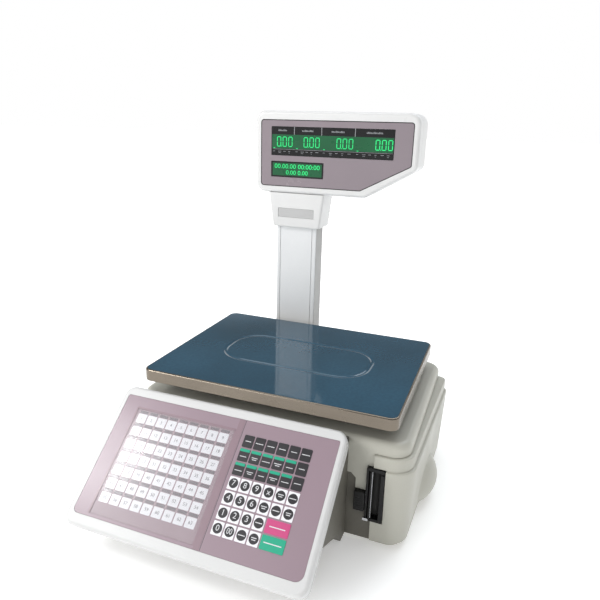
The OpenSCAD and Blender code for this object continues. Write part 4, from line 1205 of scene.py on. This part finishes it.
display_head()
window_film("operator_window", "display_window", -head.y0 - 1.3, -head.y0 - 0.5, (LCD, DATE))
window_film("customer_window_film", "customer_window", -head.y1 + 0.5, -head.y1 + 1.3, (LCD,))
price_lcd("operator", UPRIGHT, -head.y0 - 0.55, -head.y0 - 9, ["display_lcds"])
price_lcd("customer", REARWARD, head.y1 - 0.55, head.y1 - 9)
clock_lcd(UPRIGHT, -head.y0 - 0.55, -head.y0 - 9)


# ---------- rear connectors ----------

BACKWARD = Matrix.Rotation(-math.pi / 2, 4, "X")  # Z towards the back


def screw_heads():
    """Cross-recessed heads over the socket's screws."""
    bm = bmesh.new()
    cuts = []
    for x in (-109.5, -19.5):
        for z in (50, 116):
            place = Matrix.Translation((x, cover.y1 + 4.0, z)) @ BACKWARD
            lathe(bm, [(4, 0), (4, 1.2), (3.2, 1.9), (1.5, 2.2), (0.2, 2.25)], place, 28)
            for long, wide in ((2.2, 0.45), (0.45, 2.2)):
                cuts.append(lambda b, p=place, u=long, v=wide: box(b, -u, u, -v, v, 1.1, 3, p))
    piece("socket_screw_heads", carved(bm, cuts), "steel")


def connector_contacts():
    """Blades of the mains inlet, contacts of the network port, tongue and pins of the others."""
    inlet = span("power_inlet")
    middle = (inlet.x0 + inlet.x1) / 2
    blades, gold = bmesh.new(), bmesh.new()
    for dx, z in ((-6.5, 59.5), (6.5, 59.5), (0, 64.0)):
        x = middle + dx
        box(blades, x - 0.9, x + 0.9, inlet.y0 + 5, inlet.y1 - 4, z - 2.2, z + 2.2)
    for k in range(8):
        x = -8.4 + k * 1.9
        box(gold, x - 0.3, x + 0.3, cover.y1 - 11, cover.y1 - 3, 59.8, 60.4)
    box(gold, 14, 24, cover.y1 - 11.5, cover.y1 - 2.5, 53.2, 55)
    for z, count in ((56.2, 5), (51.8, 4)):
        for k in range(count):
            x = 44 + (k - (count - 1) / 2) * 3.2
            rod(gold, 0, 0, 0, 5, 0.55, 0.15, Matrix.Translation((x, cover.y1 - 7.6, z)) @ BACKWARD, 12)
    piece("inlet_blades", blades, "steel")
    piece("port_contacts", gold, "contact_gold", slot="steel")


screw_heads()
connector_contacts()


# ---------- stage, light ----------

FLOOR_REACH = 30.0
FLOOR_GLOW = (0.28, 0.68)  # near the object and far from it
GLOW_REACH = (0.35, 1.1)


def floor():
    """Pale floor that glows a little more away from the object."""
    mesh = bpy.data.meshes.new("floor")
    r = FLOOR_REACH
    mesh.from_pydata([(-r, -r, 0), (r, -r, 0), (r, r, 0), (-r, r, 0)], [], [(0, 1, 2, 3)])
    obj = bpy.data.objects.new("floor", mesh)
    scene.collection.objects.link(obj)
    n = Nodes("floor_paper")
    pale = n.mixed(n.ranged(n.noise(3, 3), 0, 1), (0.94, 0.94, 0.935), (0.96, 0.96, 0.955))
    n.link(pale, n.shader.inputs["Base Color"])
    n.shader.inputs["Roughness"].default_value = 0.9
    n.shader.inputs["Specular IOR Level"].default_value = 0.1
    n.shader.inputs["Emission Color"].default_value = (1, 1, 1, 1)
    far = n.add("ShaderNodeVectorMath", operation="LENGTH")
    n.link(n.place, far.inputs[0])
    glow = n.ranged(far.outputs["Value"], *FLOOR_GLOW, *GLOW_REACH)
    n.link(glow, n.shader.inputs["Emission Strength"])
    mesh.materials.append(n.material)


def softbox(name, place, target, size, power, colour=(1, 1, 1)):
    data = bpy.data.lights.new(name, "AREA")
    data.shape = "RECTANGLE"
    data.size, data.size_y = size
    data.energy = power
    data.color = colour
    obj = bpy.data.objects.new(name, data)
    scene.collection.objects.link(obj)
    way = Vector(place) - Vector(target)
    obj.matrix_world = Matrix.Translation(place) @ way.to_track_quat("Z", "Y").to_matrix().to_4x4()


def world():
    """White surround that turns dim over the horizon and pale again overhead."""
    scene.world = bpy.data.worlds.new("studio")
    scene.world.use_nodes = True
    tree = scene.world.node_tree
    background = tree.nodes["Background"]
    coordinates = tree.nodes.new("ShaderNodeTexCoord")
    split = tree.nodes.new("ShaderNodeSeparateXYZ")
    ramp = tree.nodes.new("ShaderNodeValToRGB")
    tree.links.new(coordinates.outputs["Generated"], split.inputs[0])
    tree.links.new(split.outputs["Z"], ramp.inputs[0])
    tree.links.new(ramp.outputs[0], background.inputs["Color"])
    stops = ramp.color_ramp.elements
    stops[0].position, stops[0].color = 0.27, (1, 1, 1, 1)
    stops[1].position, stops[1].color = 0.34, (0.22, 0.21, 0.19, 1)
    for position, grey in ((0.55, 0.24), (0.70, 0.50), (1.0, 0.58)):
        stops.new(position).color = (grey, grey, grey, 1)
    background.inputs["Strength"].default_value = 1.0


floor()
world()
softbox("key_light", (-1.30, -2.05, 1.45), (0, 0, 0.1), (1.1, 1.1), 21.5)
softbox("top_light", (-0.1, 0.6, 2.3), (0.1, 0, 0.1), (1.8, 1.8), 20, (0.90, 0.95, 1.0))
softbox("console_light", (-1.11, -0.80, 1.14), (-0.17, -0.18, 0.10), (0.22, 0.42), 8.0)
softbox("back_light", (0.75, 1.55, 1.85), (0.1, 0, 0.12), (1.2, 1.2), 12, (0.87, 0.93, 1.0))
